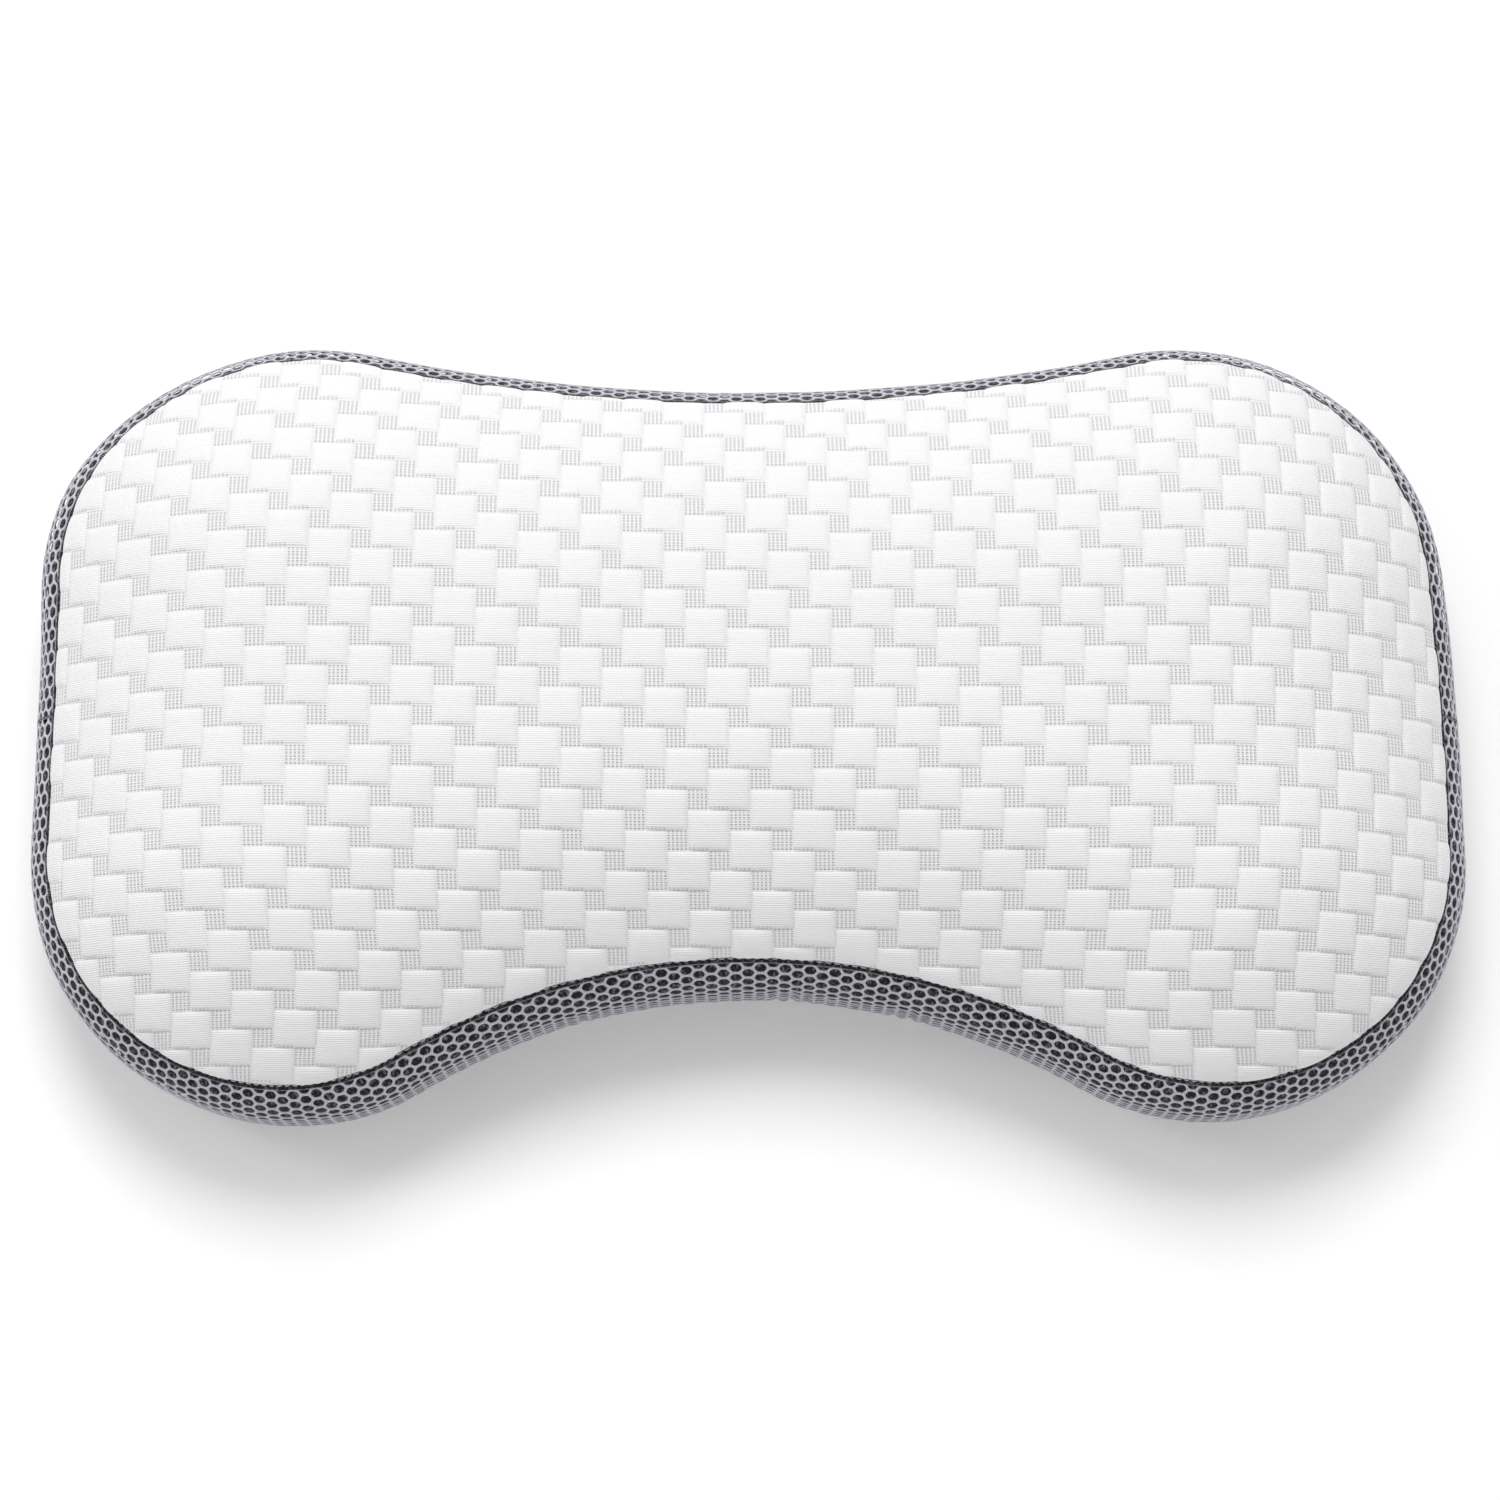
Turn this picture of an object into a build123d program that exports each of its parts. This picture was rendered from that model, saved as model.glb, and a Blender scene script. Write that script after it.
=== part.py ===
from build123d import *

import os
from math import asin, atan2, cos, degrees, hypot, pi, radians, sin, sqrt

# Contoured neck support pillow with two raised lobes and a zipped cover.  Millimetres.
# Origin: middle of the underside.  X runs along the pillow, -Y is the neck side, +Z is up.

# Overall size
WIDTH = 600.0
DEPTH = 330.0
HEIGHT = 110.0

# Plan outline: eight tangent arcs
FRONT_LOBE_RADIUS = 108.0
REAR_LOBE_RADIUS = 112.0
SIDE_RADIUS = 1600.0
FRONT_NOTCH_DEPTH = 51.0
REAR_NOTCH_DEPTH = 19.0

# Cross-section: rounded hem, upright wall, shoulder up to the top seam, domed top
HEM_RADIUS = 24.0
WALL_TOP = 38.0
TOP_SEAM_HEIGHT = 66.0
TOP_SEAM_INSET = 10.8
BOTTOM_SEAM_HEIGHT = 9.5
DOME_POWER = 2.2
CROWN_RADIUS = 8.0          # radius left at the crown of the smallest lobe
DOME_STATIONS = 7

# Cover layers
TOP_FABRIC = 3.0            # quilted knit
BOTTOM_FABRIC = 1.2
NET_THICKNESS = 1.2
NET_TO_BACKING = 0.3
BACKING_THICKNESS = 1.2
SEAM_THREAD = 1.0           # diameter
SEAM_CLEARANCE = 0.3

# Inner bag and foam
ZIP_ROOM = 5.0              # wall to inner bag, which leaves room for the zip
LINER_THICKNESS = 1.0
LINER_SEAM_HEIGHT = 34.0
LINER_DROP = 6.0            # top seam of the cover down to the shoulder of the inner bag
LAYER_GAP = 0.3
FOAM_BASE_TOP = 38.0
FOAM_INSERT_THICKNESS = 18.0

# Zip, set along the rear notch at mid wall
ZIP_HEIGHT = 31.0
ZIP_END_MARGIN = 30.0       # chain end to the end of the notch arc
ZIP_SLOT = 12.0             # opening in the net
TAPE_WIDTH = 12.5
TAPE_THICKNESS = 0.6
BACKING_SLOT = 30.0
COIL_WIDTH = 2.5
COIL_THICKNESS = 1.8
CHAIN_GAP = 1.4             # between the two coils, where the slider's post runs
FIT = 0.1                   # coil to tape

# Slider and pull
RUNNING_GAP = 0.4
SLIDER_LENGTH = 10.0
PLATE_THICKNESS = 1.4
FLANGE_THICKNESS = 0.8
POST_WIDTH = 0.7
POST_LENGTH = 3.0
BRIDGE_WIDTH = 2.2
BRIDGE_LENGTH = 7.0
BRIDGE_WALL = 1.2
PIN_DIAMETER = 1.2
PIN_CLEARANCE = 0.3
PULL_LENGTH = 26.0
PULL_WIDTH = 7.0
PULL_HOLE = 2.6             # width of the hand hole in the tab
ARM_WIDTH = 1.2

# Stops, stitching and label
STOP_LENGTH = 2.2
STOP_GAP = 0.3              # chain end to stop
SLIDER_STOP_GAP = 0.5
STITCH_ROW_OFFSET = 8.5     # from the zip's middle
STITCH_THREAD = 0.6
BARTACK_WIDTH = 1.4
LABEL_WIDTH = 34.0
LABEL_THICKNESS = 0.4
LABEL_TOP = 36.0
LABEL_ANGLE = 130.0         # round the rear left lobe, from +X

# Worked out from the sizes above
SHOULDER_RISE = TOP_SEAM_HEIGHT - WALL_TOP
SHOULDER_RADIUS = (SHOULDER_RISE**2 + TOP_SEAM_INSET**2) / (2 * TOP_SEAM_INSET)
SHOULDER_TURN = asin(SHOULDER_RISE / SHOULDER_RADIUS)
HEM_TURN = asin((HEM_RADIUS - BOTTOM_SEAM_HEIGHT) / HEM_RADIUS)
CROWN_INSET = min(FRONT_LOBE_RADIUS, REAR_LOBE_RADIUS) - CROWN_RADIUS
SEAM_HALF_GAP = SEAM_THREAD / 2 + SEAM_CLEARANCE
BACKING_DEPTH = NET_THICKNESS + NET_TO_BACKING
TAPE_DEPTH = NET_THICKNESS + NET_TO_BACKING

FRONT_LOBE = Vector(WIDTH / 2 - FRONT_LOBE_RADIUS, -DEPTH / 2 + FRONT_LOBE_RADIUS)
SIDE_CENTRE = Vector(WIDTH / 2 - SIDE_RADIUS, FRONT_LOBE.Y)
REAR_LOBE_Y = DEPTH / 2 - REAR_LOBE_RADIUS
REAR_LOBE = Vector(
    SIDE_CENTRE.X + sqrt((SIDE_RADIUS - REAR_LOBE_RADIUS) ** 2 - (REAR_LOBE_Y - SIDE_CENTRE.Y) ** 2),
    REAR_LOBE_Y,
)


def notch_radius(lobe_x, lobe_radius, notch_depth):
    """Radius of the hollow arc that is tangent to both lobes and notch_depth deep."""
    reach = lobe_radius - notch_depth
    return (lobe_x**2 + reach**2 - lobe_radius**2) / (2 * notch_depth)


FRONT_NOTCH_RADIUS = notch_radius(FRONT_LOBE.X, FRONT_LOBE_RADIUS, FRONT_NOTCH_DEPTH)
REAR_NOTCH_RADIUS = notch_radius(REAR_LOBE.X, REAR_LOBE_RADIUS, REAR_NOTCH_DEPTH)
FRONT_NOTCH_CENTRE = Vector(0, -DEPTH / 2 + FRONT_NOTCH_DEPTH - FRONT_NOTCH_RADIUS)
REAR_NOTCH_CENTRE = Vector(0, DEPTH / 2 - REAR_NOTCH_DEPTH + REAR_NOTCH_RADIUS)


def heading(start, end):
    """Angle in degrees of the line from start to end."""
    return degrees(atan2(end.Y - start.Y, end.X - start.X))


def outline_arcs():
    """Right half of the outline: centre, radius, start and end angle, and whether it is hollow."""
    front_turn = heading(FRONT_NOTCH_CENTRE, FRONT_LOBE)
    side_turn = heading(SIDE_CENTRE, REAR_LOBE)
    rear_turn = heading(REAR_NOTCH_CENTRE, REAR_LOBE) % 360
    return [
        (FRONT_NOTCH_CENTRE, FRONT_NOTCH_RADIUS, front_turn, 180 - front_turn, True),
        (FRONT_LOBE, FRONT_LOBE_RADIUS, front_turn - 180, 0, False),
        (SIDE_CENTRE, SIDE_RADIUS, 0, side_turn, False),
        (REAR_LOBE, REAR_LOBE_RADIUS, side_turn, rear_turn - 180, False),
        (REAR_NOTCH_CENTRE, REAR_NOTCH_RADIUS, 540 - rear_turn, rear_turn, True),
    ]


def full_outline():
    """All eight arcs of the outline: the right half, and its side and lobes mirrored."""
    arcs = outline_arcs()
    for centre, radius, start, end, hollow in arcs[1:4]:
        arcs.append((Vector(-centre.X, centre.Y), radius, 180 - end, 180 - start, hollow))
    return arcs


OUTLINE = full_outline()
REAR_NOTCH = OUTLINE[4]
NOTCH_HALF_ANGLE = (REAR_NOTCH[3] - REAR_NOTCH[2]) / 2


def revolve_on_arc(section, arc, start=None, end=None):
    """Carry a section (x = inset, y = height) round one arc of the outline."""
    centre, radius, first, last, hollow = arc
    start = first if start is None else start
    end = last if end is None else end
    outwards = Vector(cos(radians(start)), sin(radians(start)), 0)
    inwards = outwards if hollow else outwards * -1
    plane = Plane(centre + outwards * radius, x_dir=inwards, z_dir=inwards.cross(Vector(0, 0, 1)))
    return revolve(plane * section, Axis(centre, (0, 0, 1)), end - start)


def ring(section):
    """Carry a section all round the outline."""
    pieces = [revolve_on_arc(section, arc) for arc in OUTLINE]
    return pieces[0].fuse(*pieces[1:])


def core(inset, low, high):
    """Upright block inside the outline moved inwards by inset."""
    edges = []
    for centre, radius, start, end, hollow in OUTLINE:
        size = radius + inset if hollow else radius - inset
        edges.append(CenterArc(centre, size, start, end - start))
    return Pos(0, 0, low) * extrude(make_face(Wire(edges)), high - low)


def hem_point(turn, depth):
    """Point of the hem arc, turned from the wall towards the floor."""
    size = HEM_RADIUS - depth
    return (HEM_RADIUS - size * cos(turn), HEM_RADIUS - size * sin(turn))


def shoulder_point(turn, depth):
    """Point of the shoulder arc, turned from the wall towards the top seam."""
    size = SHOULDER_RADIUS - depth
    return (SHOULDER_RADIUS - size * cos(turn), WALL_TOP + size * sin(turn))


def wall_inset(height):
    """Inset of the side wall's face at a height: hem arc, upright wall or shoulder arc."""
    if height < HEM_RADIUS:
        return HEM_RADIUS - sqrt(HEM_RADIUS**2 - (HEM_RADIUS - height) ** 2)
    rise = max(0.0, height - WALL_TOP)
    return SHOULDER_RADIUS - sqrt(SHOULDER_RADIUS**2 - rise**2)


def wall_section(outer, inner, hem_turn, shoulder_turn):
    """Strip of the side wall between two depths, from the hem up to the shoulder."""
    edges = []
    for depth in (outer, inner):
        edges.append(
            ThreePointArc(hem_point(hem_turn, depth), hem_point(hem_turn / 2, depth), hem_point(0, depth))
        )
        edges.append(Line(hem_point(0, depth), (depth, WALL_TOP)))
        edges.append(
            ThreePointArc(
                (depth, WALL_TOP),
                shoulder_point(shoulder_turn / 2, depth),
                shoulder_point(shoulder_turn, depth),
            )
        )
    edges.append(Line(hem_point(hem_turn, outer), hem_point(hem_turn, inner)))
    edges.append(Line(shoulder_point(shoulder_turn, outer), shoulder_point(shoulder_turn, inner)))
    return make_face(Wire(edges))


def dome_points(inset, height, crown):
    """Stations of the domed top, from the seam at inset and height to the crown."""
    points = []
    for step in range(DOME_STATIONS):
        share = step / (DOME_STATIONS - 1)
        rise = 1 - (1 - share) ** DOME_POWER
        points.append((inset + (CROWN_INSET - inset) * share, height + (crown - height) * rise))
    return points


def dome_curve(points):
    """Smooth curve through the stations, level at the crown."""
    first = Vector(*points[1]) - Vector(*points[0])
    return Spline(*points, tangents=(first, Vector(1, 0)))


def body_section(side, floor, crown, seam_drop):
    """Closed section of a filled body that lies inside the cover."""
    hem = HEM_RADIUS - side
    seam = (TOP_SEAM_INSET + side, TOP_SEAM_HEIGHT - seam_drop)
    rise = seam[1] - WALL_TOP
    run = seam[0] - side
    radius = (rise**2 + run**2) / (2 * run)
    half = asin(rise / radius) / 2
    middle = (side + radius * (1 - cos(half)), WALL_TOP + radius * sin(half))
    dome = dome_points(*seam, crown)
    edges = [
        Line((CROWN_INSET, floor), (side + hem, floor)),
        ThreePointArc(
            (side + hem, floor),
            (side + hem * (1 - cos(pi / 4)), floor + hem * (1 - sin(pi / 4))),
            (side, floor + hem),
        ),
        Line((side, floor + hem), (side, WALL_TOP)),
        ThreePointArc((side, WALL_TOP), middle, seam),
        dome_curve(dome),
        Line(dome[-1], (CROWN_INSET, floor)),
    ]
    return make_face(Wire(edges))


def body(side, floor, crown, seam_drop):
    """Filled body inside the cover: its rounded rim and its core."""
    return ring(body_section(side, floor, crown, seam_drop)) + core(CROWN_INSET, floor, crown)


def slab(low, high, front=-DEPTH, rear=DEPTH):
    """Block wider than the pillow between two heights and two depths."""
    return Pos(0, (front + rear) / 2, (low + high) / 2) * Box(2 * WIDTH, rear - front, high - low)


def disc_section(inset, height, diameter):
    """Round section of a thread."""
    return Pos(inset, height) * Circle(diameter / 2)


def block_section(inset, height, thickness, tall):
    """Rectangular section from inset inwards, centred on height."""
    return Pos(inset + thickness / 2, height) * Rectangle(thickness, tall)


# Cover

def make_top_panel():
    """Quilted top panel: a domed rim and its level crown."""
    seam = Vector(*shoulder_point(SHOULDER_TURN, 0))
    outer = dome_points(seam.X, seam.Y, HEIGHT)
    start = Vector(*outer[1]) - Vector(*outer[0])
    start = start / start.length
    first = seam + start * SEAM_HALF_GAP
    outer[0] = (first.X, first.Y)
    inner = [(inset, height - TOP_FABRIC) for inset, height in outer]
    inner[0] = (first.X + start.Y * TOP_FABRIC, first.Y - start.X * TOP_FABRIC)
    inner[1] = ((inner[0][0] + inner[2][0]) / 2, (inner[0][1] + inner[2][1]) / 2 + TOP_FABRIC / 2)
    section = make_face(
        Wire([
            dome_curve(outer),
            Line(outer[-1], inner[-1]),
            dome_curve(inner),
            Line(inner[0], outer[0]),
        ])
    )
    return ring(section) + core(CROWN_INSET, HEIGHT - TOP_FABRIC, HEIGHT)


def make_bottom_panel():
    """Plain bottom panel: flat under the pillow and turned up at the hem."""
    turn = HEM_TURN + SEAM_HALF_GAP / HEM_RADIUS
    middle = (turn + pi / 2) / 2
    edges = [
        ThreePointArc(*(hem_point(angle, 0) for angle in (turn, middle, pi / 2))),
        ThreePointArc(*(hem_point(angle, BOTTOM_FABRIC) for angle in (turn, middle, pi / 2))),
        Line(hem_point(turn, 0), hem_point(turn, BOTTOM_FABRIC)),
        Line(hem_point(pi / 2, 0), hem_point(pi / 2, BOTTOM_FABRIC)),
    ]
    return ring(make_face(Wire(edges))) + core(HEM_RADIUS, 0, BOTTOM_FABRIC)


def make_band(outer, inner):
    """Side band between two depths, as a front strip and a rear strip joined at the sides."""
    hem_turn = HEM_TURN - SEAM_HALF_GAP / HEM_RADIUS
    shoulder_turn = SHOULDER_TURN - SEAM_HALF_GAP / SHOULDER_RADIUS
    band = ring(wall_section(outer, inner, hem_turn, shoulder_turn))
    front = band & slab(0, HEIGHT, rear=-SEAM_HALF_GAP)
    rear = band & slab(0, HEIGHT, front=SEAM_HALF_GAP)
    return front, rear


def make_side_seam_threads():
    """Upright rows of thread where the front and rear bands meet."""
    margin = 2 * SEAM_HALF_GAP
    section = wall_section(
        SEAM_CLEARANCE / 3,
        SEAM_CLEARANCE / 3 + SEAM_THREAD,
        HEM_TURN - margin / HEM_RADIUS,
        SHOULDER_TURN - margin / SHOULDER_RADIUS,
    )
    reach = slab(0, HEIGHT, -SEAM_THREAD / 2, SEAM_THREAD / 2)
    return Compound([revolve_on_arc(section, OUTLINE[i]) & reach for i in (2, 6)])


def seam_thread(point):
    """Thread that closes a seam all round."""
    return ring(disc_section(*point, SEAM_THREAD))


# Zip

ZIP_RADIUS = REAR_NOTCH_RADIUS
ZIP_MIDDLE = 270.0


def zip_angle(distance):
    """Angle of a place on the zip, measured along it from the pillow's middle towards +X."""
    return ZIP_MIDDLE + degrees(distance / ZIP_RADIUS)


CHAIN_END = radians(NOTCH_HALF_ANGLE) * ZIP_RADIUS - ZIP_END_MARGIN
STOP_START = CHAIN_END + STOP_GAP
TAPE_END = STOP_START + STOP_LENGTH + STOP_GAP
SLIDER_END = CHAIN_END - SLIDER_STOP_GAP + STOP_GAP
SLIDER_MIDDLE = SLIDER_END - SLIDER_LENGTH / 2
SLIDER_TRAVEL = degrees((2 * SLIDER_MIDDLE) / ZIP_RADIUS)

COIL_DEPTH = TAPE_DEPTH - FIT - COIL_THICKNESS
COIL_OFFSET = (CHAIN_GAP + COIL_WIDTH) / 2
PLATE_OUTER = COIL_DEPTH - RUNNING_GAP - PLATE_THICKNESS
PLATE_INNER = TAPE_DEPTH + TAPE_THICKNESS + RUNNING_GAP
FLANGE_OFFSET = CHAIN_GAP / 2 + COIL_WIDTH + RUNNING_GAP
SLIDER_WIDTH = 2 * (FLANGE_OFFSET + FLANGE_THICKNESS)


def along_zip(section, start, end):
    """Carry a section along the zip from one place to another."""
    return revolve_on_arc(section, REAR_NOTCH, zip_angle(start), zip_angle(end))


def cut_zip_slot(band, width, margin):
    """Open a slot in a rear band for the zip."""
    section = block_section(-NET_THICKNESS, ZIP_HEIGHT, ZIP_ROOM + NET_THICKNESS, width)
    end = TAPE_END + margin
    return band - along_zip(section, -end, end)


def make_zip_tape(side):
    """Woven tape behind the net, on one side of the chain."""
    near = ZIP_HEIGHT + side * CHAIN_GAP / 2
    far = ZIP_HEIGHT + side * (CHAIN_GAP / 2 + TAPE_WIDTH)
    section = wall_section(
        TAPE_DEPTH,
        TAPE_DEPTH + TAPE_THICKNESS,
        HEM_TURN - SEAM_HALF_GAP / HEM_RADIUS,
        SHOULDER_TURN / 2,
    )
    tape = along_zip(section, -TAPE_END, TAPE_END)
    return tape & slab(min(near, far), max(near, far))


def make_zip_coil(side):
    """One side of the chain, as its outer shape."""
    section = block_section(COIL_DEPTH, ZIP_HEIGHT + side * COIL_OFFSET, COIL_THICKNESS, COIL_WIDTH)
    return along_zip(section, -CHAIN_END, CHAIN_END)


def make_zip_slider():
    """Slider body: two plates, side flanges, a post between the coils and a bridge for the pull."""
    start = SLIDER_MIDDLE - SLIDER_LENGTH / 2
    end = SLIDER_MIDDLE + SLIDER_LENGTH / 2
    outer = along_zip(block_section(PLATE_OUTER, ZIP_HEIGHT, PLATE_THICKNESS, SLIDER_WIDTH), start, end)
    inner = along_zip(block_section(PLATE_INNER, ZIP_HEIGHT, PLATE_THICKNESS, SLIDER_WIDTH), start, end)
    gap_start = PLATE_OUTER + PLATE_THICKNESS
    post = block_section(gap_start, ZIP_HEIGHT, PLATE_INNER - gap_start, POST_WIDTH)
    slider = outer + inner + along_zip(post, end - POST_LENGTH, end)
    flange_depth = TAPE_DEPTH - SEAM_CLEARANCE - gap_start
    for side in (-1, 1):
        height = ZIP_HEIGHT + side * (FLANGE_OFFSET + FLANGE_THICKNESS / 2)
        slider += along_zip(block_section(gap_start, height, flange_depth, FLANGE_THICKNESS), start, end)
    rise = PIN_DIAMETER + 2 * PIN_CLEARANCE
    bridge_start = SLIDER_MIDDLE - BRIDGE_LENGTH / 2
    bridge_end = SLIDER_MIDDLE + BRIDGE_LENGTH / 2
    foot = block_section(PLATE_OUTER - rise, ZIP_HEIGHT, rise, BRIDGE_WIDTH)
    beam = block_section(PLATE_OUTER - rise - BRIDGE_WALL, ZIP_HEIGHT, BRIDGE_WALL, BRIDGE_WIDTH)
    slider += along_zip(foot, bridge_start, bridge_start + BRIDGE_WALL)
    slider += along_zip(foot, bridge_end - BRIDGE_WALL, bridge_end)
    slider += along_zip(beam, bridge_start, bridge_end)
    return slider


PIN_DEPTH = PLATE_OUTER - PIN_CLEARANCE - PIN_DIAMETER / 2


def zip_plane(distance, depth):
    """Plane on the zip: x along it towards the closed end, y outwards, z up."""
    angle = radians(zip_angle(distance))
    outwards = Vector(-cos(angle), -sin(angle), 0)
    along = Vector(-sin(angle), cos(angle), 0)
    origin = REAR_NOTCH_CENTRE - outwards * (ZIP_RADIUS + depth) + Vector(0, 0, ZIP_HEIGHT)
    return Plane(origin, x_dir=along, z_dir=(0, 0, 1))


def make_zip_pull():
    """Pull tab on a cross pin that turns under the slider's bridge."""
    inner_gap = BRIDGE_WIDTH + 2 * PIN_CLEARANCE
    outer_width = inner_gap + 2 * ARM_WIDTH
    bridge_corner = hypot(BRIDGE_LENGTH / 2, PIN_DIAMETER / 2 + PIN_CLEARANCE + BRIDGE_WALL)
    yoke_start = bridge_corner + RUNNING_GAP
    arm_end = yoke_start + BRIDGE_WALL
    pin = Cylinder(PIN_DIAMETER / 2, outer_width)
    pull = pin
    for side in (-1, 1):
        offset = side * (inner_gap + ARM_WIDTH) / 2
        pull += Pos(arm_end / 2, 0, offset) * Box(arm_end, PIN_DIAMETER, ARM_WIDTH)
        pull += Pos(0, 0, offset) * Cylinder(PIN_DIAMETER / 2, ARM_WIDTH)
    tab = PULL_LENGTH - arm_end
    plate = Rot(90, 0, 0) * extrude(
        RectangleRounded(tab, PULL_WIDTH, PULL_WIDTH / 2 - RUNNING_GAP), PIN_DIAMETER / 2, both=True
    )
    slot = Rot(90, 0, 0) * extrude(
        SlotOverall(tab / 2, PULL_HOLE), PIN_DIAMETER, both=True
    )
    pull += Pos(arm_end, 0, 0) * Box(2 * BRIDGE_WALL, PIN_DIAMETER, outer_width)
    pull += Pos(arm_end + tab / 2, 0, 0) * (plate - Pos(tab / 8, 0, 0) * slot)
    return zip_plane(SLIDER_MIDDLE, PIN_DEPTH) * pull


def make_zip_top_stops():
    """Clips at the closed end of the chain, one on each coil."""
    stops = []
    for side in (-1, 1):
        section = block_section(COIL_DEPTH, ZIP_HEIGHT + side * COIL_OFFSET, COIL_THICKNESS, COIL_WIDTH)
        stops.append(along_zip(section, STOP_START, STOP_START + STOP_LENGTH))
    return Compound(stops)


def make_zip_bottom_stop():
    """Clip across both coils at the open end of the chain."""
    section = block_section(COIL_DEPTH, ZIP_HEIGHT, COIL_THICKNESS, CHAIN_GAP + 2 * COIL_WIDTH)
    return along_zip(section, -STOP_START - STOP_LENGTH, -STOP_START)


def make_zip_stitching():
    """Two rows of stitching on the net and a bartack past each end of the zip."""
    depth = -FIT - STITCH_THREAD / 2
    end = TAPE_END - STOP_LENGTH
    rows = []
    for side in (-1, 1):
        height = ZIP_HEIGHT + side * STITCH_ROW_OFFSET
        section = disc_section(wall_inset(height) + depth, height, STITCH_THREAD)
        rows.append(along_zip(section, -end, end))
    bartack = block_section(-FIT - STITCH_THREAD, ZIP_HEIGHT, STITCH_THREAD, ZIP_SLOT)
    for side in (-1, 1):
        middle = side * (TAPE_END + BARTACK_WIDTH + STOP_LENGTH)
        rows.append(along_zip(bartack, middle - BARTACK_WIDTH / 2, middle + BARTACK_WIDTH / 2))
    return Compound(rows)


def make_care_label():
    """Blank woven label on the rear left lobe, sewn in at the bottom seam."""
    hem_turn = HEM_TURN - SEAM_HALF_GAP / HEM_RADIUS
    section = wall_section(-FIT - LABEL_THICKNESS, -FIT, hem_turn, SHOULDER_TURN / 2)
    arc = OUTLINE[7]
    half = degrees(LABEL_WIDTH / 2 / REAR_LOBE_RADIUS)
    label = revolve_on_arc(section, arc, LABEL_ANGLE - half, LABEL_ANGLE + half)
    return label & slab(0, LABEL_TOP)


# Inside

def make_liner():
    """Thin inner bag in two halves, with the thread that joins them."""
    floor = BOTTOM_FABRIC + LAYER_GAP
    crown = HEIGHT - TOP_FABRIC - LAYER_GAP
    outer = body(ZIP_ROOM, floor, crown, LINER_DROP)
    inner = body(
        ZIP_ROOM + LINER_THICKNESS, floor + LINER_THICKNESS, crown - LINER_THICKNESS, LINER_DROP + LINER_THICKNESS
    )
    bag = outer - inner
    thread = ring(disc_section(ZIP_ROOM + LINER_THICKNESS / 2, LINER_SEAM_HEIGHT, SEAM_THREAD))
    top = bag & slab(LINER_SEAM_HEIGHT + SEAM_HALF_GAP, HEIGHT)
    bottom = bag & slab(0, LINER_SEAM_HEIGHT - SEAM_HALF_GAP)
    return top, bottom, thread



def make_foam():
    """Foam filling in three layers: base, removable insert and contoured top."""
    skin = LINER_THICKNESS + LAYER_GAP
    floor = BOTTOM_FABRIC + LAYER_GAP + skin
    crown = HEIGHT - TOP_FABRIC - LAYER_GAP - skin
    block = body(ZIP_ROOM + skin, floor, crown, LINER_DROP + skin)
    insert_top = FOAM_BASE_TOP + FOAM_INSERT_THICKNESS
    base = block & slab(0, FOAM_BASE_TOP)
    insert = block & slab(FOAM_BASE_TOP, insert_top)
    top = block & slab(insert_top, HEIGHT)
    return base, insert, top


def make_nodes():
    """Every sub-part by name."""
    front_net, rear_net = make_band(0, NET_THICKNESS)
    front_backing, rear_backing = make_band(BACKING_DEPTH, BACKING_DEPTH + BACKING_THICKNESS)
    liner_top, liner_bottom, liner_thread = make_liner()
    foam_base, foam_insert, foam_top = make_foam()
    thread_depth = SEAM_THREAD / 2 + SEAM_CLEARANCE / 3
    return {
        "top_panel": make_top_panel(),
        "bottom_panel": make_bottom_panel(),
        "front_band_net": front_net,
        "rear_band_net": cut_zip_slot(rear_net, ZIP_SLOT, 0),
        "front_band_backing": front_backing,
        "rear_band_backing": cut_zip_slot(rear_backing, BACKING_SLOT, STOP_LENGTH),
        "top_seam_thread": seam_thread(shoulder_point(SHOULDER_TURN, thread_depth)),
        "bottom_seam_thread": seam_thread(hem_point(HEM_TURN, thread_depth)),
        "side_seam_threads": make_side_seam_threads(),
        "zip_tape_upper": make_zip_tape(1),
        "zip_tape_lower": make_zip_tape(-1),
        "zip_coil_upper": make_zip_coil(1),
        "zip_coil_lower": make_zip_coil(-1),
        "zip_slider": make_zip_slider(),
        "zip_pull": make_zip_pull(),
        "zip_top_stops": make_zip_top_stops(),
        "zip_bottom_stop": make_zip_bottom_stop(),
        "zip_stitching": make_zip_stitching(),
        "care_label": make_care_label(),
        "liner_top": liner_top,
        "liner_bottom": liner_bottom,
        "liner_seam_thread": liner_thread,
        "foam_base": foam_base,
        "foam_insert": foam_insert,
        "foam_top": foam_top,
    }


os.makedirs("parts", exist_ok=True)
for name, shape in make_nodes().items():
    export_step(shape, f"parts/{name}.step")

pin_place = zip_plane(SLIDER_MIDDLE, PIN_DEPTH).origin
print("rear notch centre", round(REAR_NOTCH_CENTRE.Y, 3), "radius", round(ZIP_RADIUS, 3))
print("slider travel", round(SLIDER_TRAVEL, 3), "middle", round(SLIDER_MIDDLE, 3), "chain end", round(CHAIN_END, 3))
print("pull pin", [round(value, 4) for value in pin_place])
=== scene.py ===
"""Looks of a contoured neck support pillow, built round its CAD frame."""

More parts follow.
